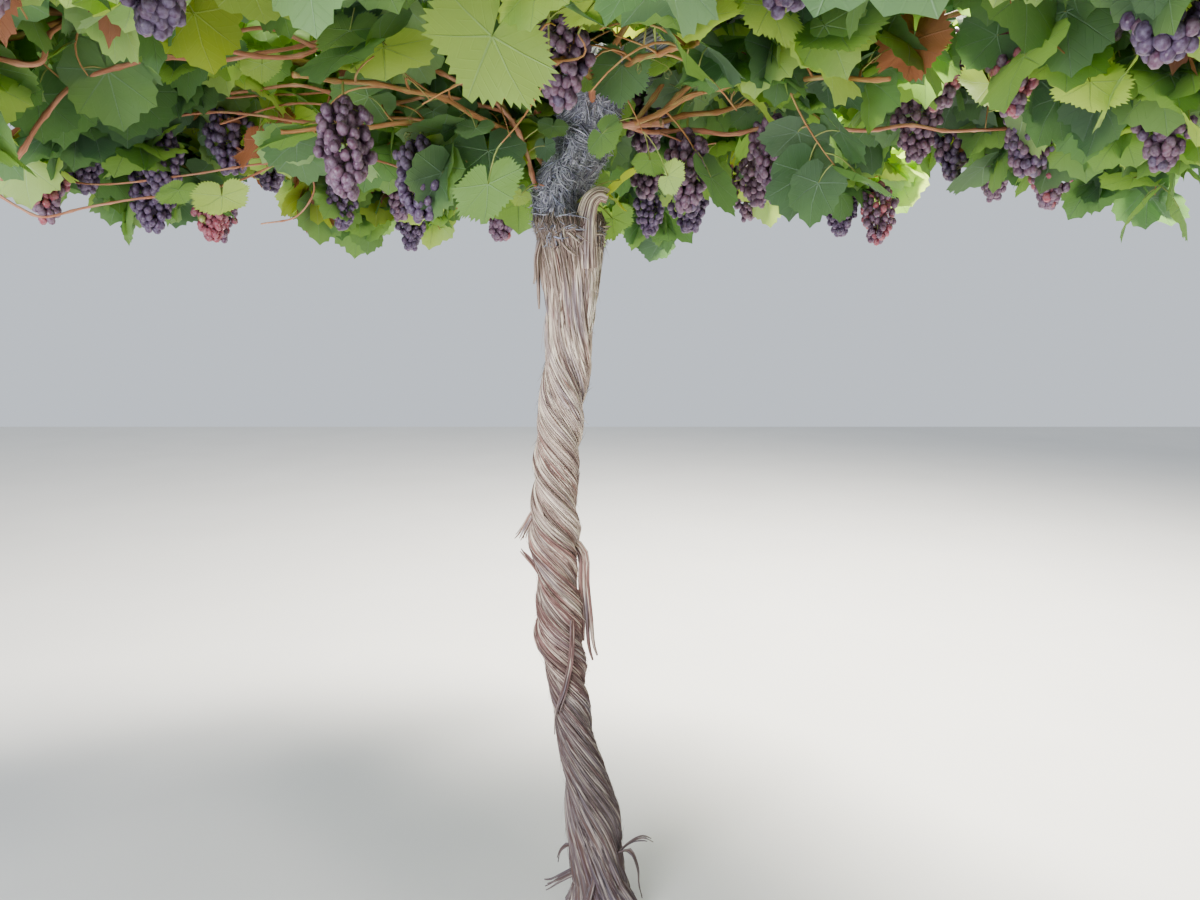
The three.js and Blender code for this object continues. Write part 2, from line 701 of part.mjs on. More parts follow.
// Each outer mass goes on from its cane's tip
function outerMass(curve, index) {
  const angle = (index + 0.5) * OUTER_SECTOR;
  const heading = curve.getTangentAt(1);
  const start = curve.getPointAt(1).addScaledVector(heading, CLEARANCE);
  const space = { angle, halfAngle: OUTER_SECTOR / 2, inner: OUTER_SPACE_START, outer: CROWN_RADIUS };
  return {
    name: `outer_mass_${index + 1}`,
    number: index + ARM_COUNT,
    start,
    heading,
    space,
    shoots: OUTER_SHOOTS,
    bunches: OUTER_BUNCHES,
  };
}

// Finishes: pale weathered bark, darker shaggy bark on the head and arms, red-brown canes and green leaves
const paleBark = new THREE.MeshStandardMaterial({ color: 0xa8977f, roughness: 0.92, metalness: 0 });
const darkBark = new THREE.MeshStandardMaterial({ color: 0x5f4c40, roughness: 0.95, metalness: 0 });
const caneBark = new THREE.MeshStandardMaterial({ color: 0x9c5a3a, roughness: 0.7, metalness: 0 });
const foliage = new THREE.MeshStandardMaterial({ color: 0x7f9a55, roughness: 0.6, metalness: 0 });

const grapevine = new THREE.Group();
grapevine.add(meshOf('trunk', makeTrunk(), paleBark));
grapevine.add(meshOf('head', head, darkBark));
grapevine.add(meshOf('pruned_stub', makeStub(), paleBark));
armCurves.forEach((curve, i) => {
  const arm = largestShell(limb(curve, ARM_RADII, ARM_SIDES, ARM_STEPS).subtract(headRoom));
  grapevine.add(meshOf(`arm_${i + 1}`, arm, darkBark));
});
caneCurves.forEach((curve, i) => {
  grapevine.add(meshOf(`cane_${i + 1}`, makeCane(curve, i), caneBark));
});
INNER_STEMS.map(innerMass).forEach((mass) => {
  grapevine.add(meshOf(mass.name, largestShell(makeMass(mass).subtract(headRoom)), foliage));
});
caneCurves.map(outerMass).forEach((mass) => {
  grapevine.add(meshOf(mass.name, makeMass(mass), foliage));
});

export default grapevine;
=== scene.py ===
# %% [markdown]
# # A pergola grapevine, dressed on its fixed frame
#
# The frame holds the vine's plain solids: a leaning trunk, a dark head, four arms, eight canes and twelve
# masses of foliage. This lesson puts the real surfaces in their place: wound bark, loose strips, canes,
# lobed leaves and bunches of berries. Everything is in metres, +Z up, with the foot of the trunk at the
# origin, so a piece is simply made where it belongs.

import bpy
import numpy as np
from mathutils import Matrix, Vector


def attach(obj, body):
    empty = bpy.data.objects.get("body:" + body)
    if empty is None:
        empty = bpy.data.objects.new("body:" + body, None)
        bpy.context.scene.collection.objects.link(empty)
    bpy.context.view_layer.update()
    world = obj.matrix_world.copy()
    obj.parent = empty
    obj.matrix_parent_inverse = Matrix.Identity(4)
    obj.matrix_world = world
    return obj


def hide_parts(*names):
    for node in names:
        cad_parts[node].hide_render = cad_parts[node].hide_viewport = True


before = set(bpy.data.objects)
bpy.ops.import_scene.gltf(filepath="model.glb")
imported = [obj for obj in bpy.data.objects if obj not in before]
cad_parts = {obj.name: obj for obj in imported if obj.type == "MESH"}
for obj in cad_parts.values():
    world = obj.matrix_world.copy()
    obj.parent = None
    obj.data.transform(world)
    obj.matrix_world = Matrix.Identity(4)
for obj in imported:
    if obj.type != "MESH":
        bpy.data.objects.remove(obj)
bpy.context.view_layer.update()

# %% [markdown]
# ## Chance that is the same each time
#
# A vine needs thousands of small differences, the same ones in every run. Each is worked out from
# whole-number keys, such as mass, shoot and node, so one leaf can change its draw without moving the
# others. A random generator would be shorter, but its draws depend on their order.

# %% Chance and smooth noise
SEED = 4.7
KEY_STEPS = np.array([12.9898, 78.233, 37.719, 93.989])
WAVE_HEIGHT = 43758.5453
UP = np.array([0, 0, 1.0])


def chance(*keys):
    """Numbers from 0 to 1: the fraction that is left of a large sine of the keys' weighted sum."""
    total = SEED + sum(np.asarray(key, float) * step for key, step in zip(keys, KEY_STEPS))
    wave = np.sin(total) * WAVE_HEIGHT
    return wave - np.floor(wave)


def between(low, high, share):
    """The value that lies a share of the way from low to high."""
    return low + (high - low) * share


def spread(low, high, *keys, power=1):
    """Chance values between low and high as a column: a power above one crowds them to the low end."""
    return between(low, high, chance(*keys) ** power)[:, None]


def drawer(*keys):
    """A function for spreads that share their first keys."""
    return lambda low, high, *more, power=1: spread(low, high, *keys, *more, power=power)


def stacked(*columns):
    """Vectors from their parts, which may be single numbers or arrays that broadcast."""
    return np.stack(np.broadcast_arrays(*columns), axis=-1)


def noise(places, key=0):
    """Value noise from 0 to 1: eight corner values of a unit cell, blended by the eased place in the cell."""
    cell = np.floor(places)
    inside = places - cell
    inside = inside * inside * (3 - 2 * inside)
    total = np.zeros(places.shape[:-1])
    for corner in np.ndindex(2, 2, 2):
        at = cell + corner
        weight = np.prod(np.where(corner, inside, 1 - inside), axis=-1)
        total += weight * chance(at[..., 0], at[..., 1], at[..., 2], key)
    return total


print("first draws:", [round(float(chance(0, k)), 4) for k in range(3)])

# %% [markdown]
# ## The vine's own sizes
#
# The trunk is a stack of rows: height, lean to the right, lean back, radius. It leans left, narrows twice
# and swells below the head, where pruning has thickened it. The bark winds fastest half-way up. The solids
# grow from the same numbers, so both have one outline.

# %% Sizes of trunk and head
TRUNK_TOP = 1.600
CLEARANCE = 0.0003
TRUNK_STATIONS = [
    [0, 0, 0, 0.056], [0.11, -0.01, 0.002, 0.054], [0.23, -0.021, 0.005, 0.06],
    [0.32, -0.038, 0.007, 0.048], [0.453, -0.066, 0.006, 0.04], [0.59, -0.084, 0, 0.044],
    [0.69, -0.099, -0.006, 0.052], [0.76, -0.097, -0.007, 0.048], [0.83, -0.105, -0.006, 0.042],
    [0.9, -0.109, -0.004, 0.054], [0.99, -0.106, 0, 0.048], [1.17, -0.094, 0.006, 0.048],
    [1.345, -0.072, 0.006, 0.05], [1.43, -0.064, 0.004, 0.051], [1.54, -0.064, 0.004, 0.061],
    [TRUNK_TOP, -0.071, 0.006, 0.069],
]
HEAD_STATIONS = [
    [TRUNK_TOP + CLEARANCE, -0.092, 0.014, 0.047], [1.66, -0.093, 0.027, 0.055],
    [1.735, -0.056, 0.032, 0.06], [1.805, -0.035, 0.032, 0.057], [1.87, -0.014, 0.03, 0.062],
    [1.92, -0.003, 0.028, 0.057], [1.95, 0.002, 0.028, 0.032],
]
TWIST_STATIONS = [[0, 4.5], [0.2, 5], [0.64, 20], [1.15, 20], [1.43, 2], [2.0, 1]]
FLUTES = [[3, 0.07, 0.6], [4, 0.05, 2.1]]
HEAD_FLUTES = [[3, 0.08, 1.2], [5, 0.05, 0.3]]
FLARE_WIDTH = 0.02
FLARE_HEIGHT = 0.045
FLARE_ROOTS = 4
FLARE_ROOT_DEPTH = 0.45


def station_at(stations, heights):
    """Each column at each height: a cubic between two rows, along the slopes of the rows on either side."""
    rows = np.asarray(stations, float)
    heights = np.asarray(heights, float)[..., None]
    last = len(rows) - 1
    i = np.minimum(np.searchsorted(rows[1:, 0], heights[..., 0]), last - 1)
    before, start, end, after = (rows[np.clip(i + k, 0, last)] for k in (-1, 0, 1, 2))
    span = end[..., :1] - start[..., :1]
    t = np.clip((heights - start[..., :1]) / span, 0, 1)
    leaving = (end - before) / (end[..., :1] - before[..., :1]) * span
    arriving = (after - start) / (after[..., :1] - start[..., :1]) * span
    ease = t * t * (3 - 2 * t)
    smooth = start * (1 - ease) + end * ease + t * (1 - t) * ((1 - t) * leaving - t * arriving)
    return smooth[..., 1:]


def twist_at(heights):
    """The angle the bark has wound through: the rates between rows, each added up over its own rise."""
    angle = np.zeros(np.shape(heights))
    for (low, low_rate), (high, high_rate) in zip(TWIST_STATIONS, TWIST_STATIONS[1:]):
        rise = np.clip(heights - low, 0, high - low)
        angle -= (low_rate + (high_rate - low_rate) * rise / (high - low) / 2) * rise
    return angle


def fluted(flutes, angles):
    """How far the section stands out: one plus a cosine for each set of flutes."""
    return 1 + sum(depth * np.cos(count * angles + phase) for count, depth, phase in flutes)


def flare_at(heights, angles):
    """The foot's spread: four low roots that die away with height."""
    roots = 1 + FLARE_ROOT_DEPTH * np.cos(FLARE_ROOTS * angles + 1)
    return FLARE_WIDTH * np.exp(-heights / FLARE_HEIGHT) * roots


print("trunk radius at the foot, waist and top:", station_at(TRUNK_STATIONS, [0, 0.453, 1.6])[:, 2])

# %% [markdown]
# ## Shapes as arrays
#
# Every surface is a grid of points worked out at once. A shape holds its points, its faces and, for each
# point, what its material wants to know. Shapes join by laying their arrays end to end, so that thousands
# of leaves make one piece.

# %% Shape helpers
class Shape:
    """Points, quads and triangles, and layers that hold one value or one vector for each point."""

    def __init__(self, points, quads=(), triangles=(), **layers):
        self.points = np.reshape(points, (-1, 3))
        self.quads = np.reshape(quads, (-1, 4)).astype(int)
        self.triangles = np.reshape(triangles, (-1, 3)).astype(int)
        self.layers = layers


def joined(shapes):
    """One shape from many: arrays laid end to end, with each face's corners counted on."""
    shapes = [shape for shape in shapes if len(shape.points)]
    starts = np.cumsum([0] + [len(shape.points) for shape in shapes[:-1]])
    layers = {name: np.concatenate([shape.layers[name] for shape in shapes]) for name in shapes[0].layers}
    return Shape(
        np.concatenate([shape.points for shape in shapes]),
        np.concatenate([shape.quads + start for shape, start in zip(shapes, starts)]),
        np.concatenate([shape.triangles + start for shape, start in zip(shapes, starts)]),
        **layers,
    )


def unit(vectors):
    """Vectors divided by their own length."""
    length = np.linalg.norm(vectors, axis=-1, keepdims=True)
    return vectors / np.maximum(length, 1e-12)


def heading_of(turn, pitch):
    """The direction at a turn from the right and a pitch above level."""
    return stacked(np.cos(turn) * np.cos(pitch), np.sin(turn) * np.cos(pitch), np.sin(pitch))


def rolled(across, along, angle):
    """A direction rolled round one that it is square to: cosine of itself plus sine of the third way."""
    return across * np.cos(angle) + np.cross(along, across) * np.sin(angle)


def around(sides):
    """Evenly spaced angles round a section."""
    return np.arange(sides) * 2 * np.pi / sides


def wall_faces(rows, sides):
    """Quads of a closed wall, each from a ring's corner, the next one round and the same two a ring further
    on, and the triangles of a fan over its first ring and over its last."""
    ring, side = np.meshgrid(np.arange(rows - 1), np.arange(sides), indexing="ij")
    on = (side + 1) % sides
    corners = (ring * sides + side, ring * sides + on, (ring + 1) * sides + on, (ring + 1) * sides + side)
    near = np.arange(1, sides - 1)
    fan = stacked(0, near, near + 1)
    return stacked(*corners).reshape(-1, 4), np.concatenate([fan[:, ::-1], fan + (rows - 1) * sides])


def tubes(paths, wide, thick=None, sides=4, outward=None, ridge=0.75):
    """Many tubes at once: an oval section square to each path, wide across and thick along outward. Paths are
    tubes by steps by 3. Half sizes are single, tubes by steps, or tubes by steps by sides."""
    paths = np.asarray(paths, float)
    count, steps = paths.shape[:2]
    full = np.zeros((count, steps, sides))
    sizes = [size if np.ndim(size) == 3 else np.broadcast_to(size, (count, steps))[..., None]
             for size in (wide, wide if thick is None else thick, ridge)]
    wide, thick, ridge = (full + size for size in sizes)
    along = unit(np.gradient(paths, axis=1))
    if outward is None:
        steep = np.abs(unit(paths[:, -1] - paths[:, 0])[:, 2:]) > 0.8
        outward = np.where(steep, [1.0, 0, 0], [0, 0, 1.0])[:, None] + np.zeros_like(paths)
    across = unit(np.cross(outward, along))[:, :, None]
    upright = np.cross(along[:, :, None], across)
    angles = around(sides)
    rings = (paths[:, :, None] + across * (wide * np.cos(angles))[..., None]
             + upright * (thick * np.sin(angles))[..., None])
    walked = np.cumsum(np.linalg.norm(np.diff(paths, axis=1, prepend=paths[:, :1]), axis=2), axis=1)
    walked = walked + chance(np.arange(count), steps)[:, None]
    girth = wide.mean()
    grain = stacked(np.cos(angles) * girth, np.sin(angles) * girth, walked[..., None])
    starts = np.arange(count)[:, None, None] * steps * sides
    quads, ends = wall_faces(steps, sides)
    return Shape(rings, quads + starts, ends + starts, grain=grain.reshape(-1, 3), ridge=ridge.reshape(-1, 1))


# %% [markdown]
# A shape becomes a Blender mesh through foreach_set, which copies whole arrays. The object stays at the
# origin, rides on the frame's only body and hides the solids that it stands for.

# %% From shape to piece
piece_sizes = {}


def linked(name, data):
    """A new object of the scene that holds a mesh, a light or a camera."""
    made = bpy.data.objects.new(name, data)
    bpy.context.scene.collection.objects.link(made)
    return made


def add_piece(name, shape, material, replaced=()):
    """Puts a shape's arrays into a new mesh object, with its layers, material and place in the frame."""
    mesh = bpy.data.meshes.new(name)
    corners = np.concatenate([shape.quads.ravel(), shape.triangles.ravel()])
    sizes = np.repeat([4, 3], [len(shape.quads), len(shape.triangles)])
    starts = np.cumsum(sizes) - sizes
    mesh.vertices.add(len(shape.points))
    mesh.vertices.foreach_set("co", shape.points.astype(np.float32).ravel())
    mesh.loops.add(len(corners))
    mesh.loops.foreach_set("vertex_index", corners.astype(np.int32))
    mesh.polygons.add(len(starts))
    mesh.polygons.foreach_set("loop_start", starts.astype(np.int32))
    mesh.polygons.foreach_set("use_smooth", np.full(len(starts), True))
    mesh.update(calc_edges=True)
    for layer, values in shape.layers.items():
        values = np.reshape(values, (len(shape.points), -1)).astype(np.float32)
        kind, field = ("FLOAT_VECTOR", "vector") if values.shape[1] == 3 else ("FLOAT", "value")
        mesh.attributes.new(layer, kind, "POINT").data.foreach_set(field, values.ravel())
    mesh.materials.append(material)
    piece = linked(name, mesh)
    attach(piece, "root")
    if replaced:
        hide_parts(*replaced)
    piece_sizes[name] = len(shape.quads) * 2 + len(shape.triangles)
    print(f"{name}: {piece_sizes[name]} triangles")


# %% [markdown]
# ## Finishes as expressions
#
# Shader maths reads best as ordinary sums. A wire wraps one output of a node tree, and a sign between two
# wires, or between a wire and a number, adds the Math node that it stands for. Colours are mixed by Mix
# nodes, because a Math node would turn them grey.

# %% Wires and finishes
def sign(operation, turned=False):
    """A method of a wire that adds a Math node for a sign. Turned is the reflected form, as in 1 - mask."""
    def method(self, other=0.0):
        first, second = (other, self) if turned else (self, other)
        return self.finish.node("ShaderNodeMath", {0: first, 1: second}, operation=operation)
    return method


class Wire:
    """An output socket. Signs between wires and numbers add Math nodes."""

    __add__, __radd__ = sign("ADD"), sign("ADD", turned=True)
    __sub__, __rsub__ = sign("SUBTRACT"), sign("SUBTRACT", turned=True)
    __mul__, __rmul__ = sign("MULTIPLY"), sign("MULTIPLY", turned=True)
    __abs__, wrapped = sign("ABSOLUTE"), sign("FRACT")
    least, most = sign("MINIMUM"), sign("MAXIMUM")

    def __init__(self, finish, socket):
        self.finish, self.socket = finish, socket


class Finish:
    """A material, with one method that adds any node and a few that name the common ones."""

    def __init__(self, name):
        self.material = bpy.data.materials.new(name)
        self.material.use_nodes = True
        self.tree = self.material.node_tree
        self.tree.nodes.clear()

    def node(self, kind, sockets, out=0, **settings):
        """A node of a kind: its settings first, then a value or a wire for each socket."""
        made = self.tree.nodes.new(kind)
        for name, value in settings.items():
            setattr(made, name, value)
        for key, value in sockets.items():
            if isinstance(value, Wire):
                self.tree.links.new(value.socket, made.inputs[key])
            else:
                made.inputs[key].default_value = value
        return Wire(self, made.outputs[out])

    def layer(self, name, out=2):
        """A point layer of the piece: output 2 is its single value, output 1 its vector."""
        return self.node("ShaderNodeAttribute", {}, out, attribute_name=name, attribute_type="GEOMETRY")

    def parts(self, vector):
        """The three parts of a vector."""
        split = self.node("ShaderNodeSeparateXYZ", {"Vector": vector}).socket.node
        return [Wire(self, socket) for socket in split.outputs]

    def places(self):
        """The piece's own coordinates, which are the frame's."""
        return self.node("ShaderNodeTexCoord", {}, "Object")

    def along_grain(self, grain, across, along, detail, roughness=0.5):
        """Noise that is dense across the grain and long along it."""
        stretched = self.node("ShaderNodeMapping", {"Vector": grain, "Scale": (across, across, along)})
        return self.noise(stretched, 1.0, detail, roughness)

    def noise(self, vector, scale, detail=2.0, roughness=0.5):
        """Cloudy noise from 0 to 1."""
        values = {"Vector": vector, "Scale": scale, "Detail": detail, "Roughness": roughness}
        return self.node("ShaderNodeTexNoise", values)

    def step(self, value, low, high):
        """A smooth step: 0 up to low, 1 from high on."""
        values = {"Value": value, "From Min": low, "From Max": high}
        return self.node("ShaderNodeMapRange", values, interpolation_type="SMOOTHSTEP")

    def coated(self, colour, *coats):
        """A colour under coats of others: each coat gives the share that it covers and its colour."""
        for share, coat in coats:
            under, over = ((*c, 1.0) if isinstance(c, tuple) else c for c in (colour, coat))
            colour = self.node("ShaderNodeMix", {0: share, 6: under, 7: over}, 2, data_type="RGBA")
        return colour

    def bump(self, height, distance):
        """A normal that is tilted by a height in metres times distance."""
        return self.node("ShaderNodeBump", {"Height": height, "Distance": distance, "Strength": 1.0})

    def surface(self, sockets):
        """The main shader, with values or wires for its sockets."""
        return self.node("ShaderNodeBsdfPrincipled", sockets)

    def done(self, shader):
        """Joins the shader to the output and gives the material."""
        output = self.tree.nodes.new("ShaderNodeOutputMaterial")
        self.tree.links.new(shader.socket, output.inputs["Surface"])
        return self.material


# %% [markdown]
# ## Bark
#
# Old vine bark is a coat of flat fibres. It weathers to a pale grey-beige, with pinkish brown where a
# strip has lately come off, and thin cream streaks. Its grooves are made near-black with painted shade.
# The fibres follow the wound wood, so the finish reads the layer grain: where each point would lie if the
# trunk were unwound and straight.
# Noise that is stretched along grain then runs along the bark, whatever way the trunk turns.

# %% Bark finish
GROUND_TINT = (0.060, 0.056, 0.082)
UNDER_HEAD_TINT = (0.230, 0.200, 0.195)


def bark_finish(name, pale, warm, cream, cool, dark, depth, fibre_scale, foot=0.0):
    """Bark colours from noise stretched along the grain, with painted shade that darkens the grooves that the
    mesh holds, some fibres darker at random and, by the share foot, darker towards the ground."""
    finish = Finish(name)
    grain = finish.layer("grain", 1)
    ridge = finish.layer("ridge")
    broad = finish.along_grain(grain, 16, 4.0, 3.0, 0.5)
    patches = finish.along_grain(grain, 55, 6.0, 4.0, 0.6)
    streaks = finish.along_grain(grain, 190, 5.0, 3.0, 0.6)
    straws = finish.along_grain(grain, fibre_scale * 0.6, 7.0, 2.0, 0.6)
    fibres = finish.along_grain(grain, fibre_scale * 1.6, 20.0, 3.0, 0.7)
    height = finish.parts(finish.places())[2]
    bare = finish.step(abs(height - 0.72), 0.30, 0.10) * 0.16
    near_ground = finish.step(height + patches * 0.35, 1.22, 0.52) * foot
    bright = 1 - near_ground * 0.90
    near_head = finish.step(height - patches * 0.10, 1.46, 1.55)
    # Painted shade: the relief's grooves are darkened with the dark colour; loose fibres darken at random by
    # their drawn ridge value
    groove = 1 - finish.step(ridge + straws * 0.30, 0.26, 0.56)
    lift = straws * 0.9 + fibres * 0.5 + streaks * 0.5
    return finish.done(finish.surface({
        "Base Color": finish.coated(
            pale,
            (finish.step(patches + bare, 0.53, 0.64), warm),
            (finish.step(broad, 0.52, 0.66) * 0.8, cool),
            (near_ground, GROUND_TINT),
            (finish.step(streaks, 0.53, 0.62) * bright * 0.85, cream),
            (finish.step(straws, 0.55, 0.63) * bright * 0.80, cream),
            (near_head * foot * 0.65, UNDER_HEAD_TINT),
            (groove * 0.85, dark),
            (finish.step(straws, 0.46, 0.39) * 0.80, dark),
            (finish.step(streaks, 0.43, 0.36) * 0.65, dark),
            (finish.step(fibres, 0.50, 0.36) * 0.45, dark),
        ),
        "Roughness": finish.step(fibres, 0.2, 0.8) * 0.18 + 0.74,
        "Specular IOR Level": 0.25,
        "Normal": finish.bump(lift, depth),
    }))


PALE = {"pale": (0.56, 0.44, 0.375), "warm": (0.4, 0.225, 0.19), "cream": (0.96, 0.85, 0.69),
        "cool": (0.37, 0.32, 0.35), "dark": (0.12, 0.072, 0.062), "depth": 0.0034, "fibre_scale": 420}
pale_bark = bark_finish("wound_pale_bark", **PALE, foot=0.75)
stub_bark = bark_finish("stub_bark", **PALE)
dark_bark = bark_finish(
    "shaggy_dark_bark", pale=(0.55, 0.54, 0.63), warm=(0.36, 0.32, 0.37), cream=(0.8, 0.77, 0.83),
    cool=(0.38, 0.4, 0.56), dark=(0.09, 0.086, 0.125), depth=0.0026, fibre_scale=380,
)
# Painted highlight: near-white cream colours for splinters that stand for sunlight on the trunk's right and
# on the stub's top
painted_highlight_finish = bark_finish(
    "painted_highlight_cream", pale=(0.94, 0.84, 0.72), warm=(0.74, 0.58, 0.46), cream=(1.0, 0.98, 0.92),
    cool=(0.62, 0.55, 0.5), dark=(0.34, 0.24, 0.19), depth=0.0022, fibre_scale=420,
)
print("bark finishes:", pale_bark.name, dark_bark.name)

# %% [markdown]
# ## The trunk
#
# Half-way up, the trunk looks like a rope: strands the width of a finger lie side by side and wind to the
# lower right. Near the foot the furrows are long and nearly straight, and below the head flat strips cover
# each other like shingles. The wall is one grid of height and angle, and its relief is a sum of strands:
# rounded ridges at a whole number round the trunk, so that the first and last ones meet.

# %% Bark relief
def wound(angles, heights, turns, climb):
    """Coordinates on a straight, unwound trunk: a circle of radius turns, and the height times climb."""
    return stacked(np.cos(angles) * turns, np.sin(angles) * turns, heights * climb)


def strands(angles, heights, count, wander, climb, key):
    """Ridges side by side: the place across a strand, 0 to 1, becomes a round back with sharp valleys."""
    drift = wander * (noise(wound(angles, heights, 1.6, climb), key) - 0.5) * 2
    across = (angles * count / (2 * np.pi) + drift) % 1
    return 1 - np.abs(2 * across - 1) ** 2.6


def shingles(angles, heights, count, wander, climb, key):
    """Strips that cover each other: a slow rise across each strip and a sudden drop at its edge."""
    drift = wander * (noise(wound(angles, heights, 1.3, climb), key) - 0.5) * 2
    across = (angles * count / (2 * np.pi) + drift) % 1
    return across ** 0.7 * (1 - np.clip((across - 0.93) / 0.07, 0, 1))


def trunk_relief(angles, heights):
    """Metres that the bark stands out, and the same as a layer from 0, a groove, to 1, a ridge."""
    rope = np.clip((heights - 0.42) / 0.2, 0, 1) * np.clip((1.46 - heights) / 0.2, 0, 1)
    foot = np.clip((0.5 - heights) / 0.25, 0, 1)
    broad = noise(wound(angles, heights, 1.9, 4.5), 1)
    thick = strands(angles, heights, 8, 0.9, 3.0, 2) * (0.35 + 0.45 * rope)
    middle = strands(angles, heights, 19, 1.3, 5.0, 3) * (0.6 + 0.5 * foot)
    thin = strands(angles, heights, 47, 2.2, 8.0, 4)
    low = np.clip((0.19 - heights) / 0.14, 0, 1)
    roots = strands(angles, heights, 12, 1.6, 9.0, 7) * low
    strips = shingles(angles, heights, 11, 1.0, 4.0, 5) * (1 - 0.5 * rope)
    rough = noise(wound(angles, heights, 9.0, 22.0), 6)
    height = (0.0030 * broad + 0.0034 * thick + 0.0034 * middle * (1 + 0.3 * foot)
              + 0.0028 * thin + 0.0028 * strips + 0.0012 * rough + 0.0080 * roots)
    ridge = 0.12 * broad + 0.22 * thick + 0.28 * middle + 0.32 * thin + 0.14 * strips - 0.3 * (low - roots)
    return height - 0.0080, ridge


# %% Trunk wall
TRUNK_SIDES = 220
TRUNK_ROWS = 405
TOP_RINGS = 9


class Stem:
    """A stem's bark: the rows of its middle line and radius, its flutes, its relief and its foot's spread."""

    def __init__(self, stations, flutes, relief_of, flare_of=lambda heights, angles: 0):
        self.stations, self.flutes, self.relief_of, self.flare_of = stations, flutes, relief_of, flare_of

    def surface(self, angles, heights):
        """A point of the bark: middle line plus fluted, flared and ridged radius, turned by the twist."""
        right, back, radius = np.moveaxis(station_at(self.stations, heights), -1, 0)
        relief, ridge = self.relief_of(angles, heights)
        reach = radius * fluted(self.flutes, angles) + self.flare_of(heights, angles) + relief
        turned = angles + twist_at(heights)
        points = stacked(right + reach * np.cos(turned), back + reach * np.sin(turned), heights)
        return points, stacked(np.cos(angles) * 0.05, np.sin(angles) * 0.05, heights), ridge[..., None]

    def outwards(self, places):
        """Level directions from the middle line out to places beside it."""
        middle = station_at(self.stations, places[..., 2])
        return unit(places - stacked(middle[..., 0], middle[..., 1], places[..., 2]))

    def wall(self, low, high, rows, sides, hollow):
        """A closed wall between two heights, whose top's rings draw in to a rough, hollow middle."""
        points, grain, ridge = self.surface(*np.meshgrid(around(sides), np.linspace(low, high, rows)))
        share = np.linspace(1, 0, TOP_RINGS + 1)[1:, None, None]
        middle = points[-1].mean(axis=0)
        top = middle + (points[-1] - middle) * np.maximum(share, 0.02)
        rough = noise(top * 60, 9)[..., None] * (1 - share) * share * 4
        rings = np.concatenate([points, top - rough * UP * hollow])
        grain = np.concatenate([grain, grain[-1] + (1 - share) * UP * 0.07]).reshape(-1, 3)
        ridge = np.concatenate([ridge, ridge[-1] * 0.7 + 0 * share]).reshape(-1, 1)
        return Shape(rings, *wall_faces(*rings.shape[:2]), grain=grain, ridge=ridge)


trunk = Stem(TRUNK_STATIONS, FLUTES, trunk_relief, flare_at)
trunk_shape = trunk.wall(0, TRUNK_TOP - 0.001, TRUNK_ROWS, TRUNK_SIDES, 0.016)
add_piece("trunk_bark", trunk_shape, pale_bark, ["trunk"])

# %% [markdown]
# ## Loose bark
#
# Bark comes off a vine in strips. A few wide ones hang from the trunk: a plank on its right side, a pale
# tongue by the head, a thin ribbon across the front, and curls on the ground round its foot. Hundreds
# of small fibres lift at one end. Each is a flat tube that follows the wound grain and leaves it slowly.

# %% Strips that hang from the trunk
ACROSS_VIEW = (0.25, -1, 0)
# Each strip: its width, how many ribbons it frays into, which way its flat side looks (outwards where
# nothing is given), then its line: height, degrees from the right, distance off the bark
STRIPS = [
    (0.022, 3, ACROSS_VIEW, [[0.905, -12, -0.02], [0.874, -8, 0.013], [0.8, -6, 0.016], [0.72, -6, 0.012],
        [0.65, -6, 0.012], [0.6, -4, 0.018]]),
    (0.024, 4, ACROSS_VIEW, [[1.57, 190, -0.008], [1.53, 188, 0.008], [1.47, 190, 0.012],
        [1.395, 192, 0.01]]),
    (0.008, 3, ACROSS_VIEW, [[1.56, 196, 0.004], [1.52, 196, 0.022], [1.48, 194, 0.026],
        [1.44, 193, 0.034]]),
    (0.011, 3, None, [[0.745, -50, -0.006], [0.72, -56, 0.004], [0.645, -66, 0.008], [0.572, -92, 0.01],
        [0.499, -128, 0.01], [0.44, -144, 0.012]]),
    (0.012, 4, None, [[0.135, -35, -0.006], [0.165, -25, 0.012], [0.178, -12, 0.034], [0.176, -5, 0.056],
        [0.16, 0, 0.078]]),
    (0.011, 3, None, [[0.15, -40, -0.006], [0.165, -28, 0.03], [0.12, -22, 0.046], [0.07, -20, 0.044],
        [0.02, -24, 0.058]]),
    (0.018, 4, None, [[0.112, -140, -0.006], [0.1, -160, 0.01], [0.078, -172, 0.04], [0.056, -178, 0.07],
        [0.05, -180, 0.088]]),
    (0.01, 3, None, [[0.15, 200, -0.006], [0.165, 195, 0.012], [0.15, 190, 0.03], [0.11, 188, 0.042]]),
    (0.012, 3, None, [[0.11, -100, -0.006], [0.08, -108, 0.01], [0.04, -118, 0.02], [0.015, -125, 0.032]]),
    (0.012, 3, None, [[0.09, -65, -0.006], [0.07, -58, 0.01], [0.04, -52, 0.024], [0.012, -48, 0.04]]),
    (0.016, 6, ACROSS_VIEW, [[0.965, 184, -0.005], [0.947, 182, 0.003], [0.92, 181, 0.014],
        [0.893, 180, 0.027]]),
    (0.009, 3, ACROSS_VIEW, [[0.822, 187, -0.005], [0.84, 184, 0.003], [0.86, 182, 0.014],
        [0.88, 181, 0.028]]),
]


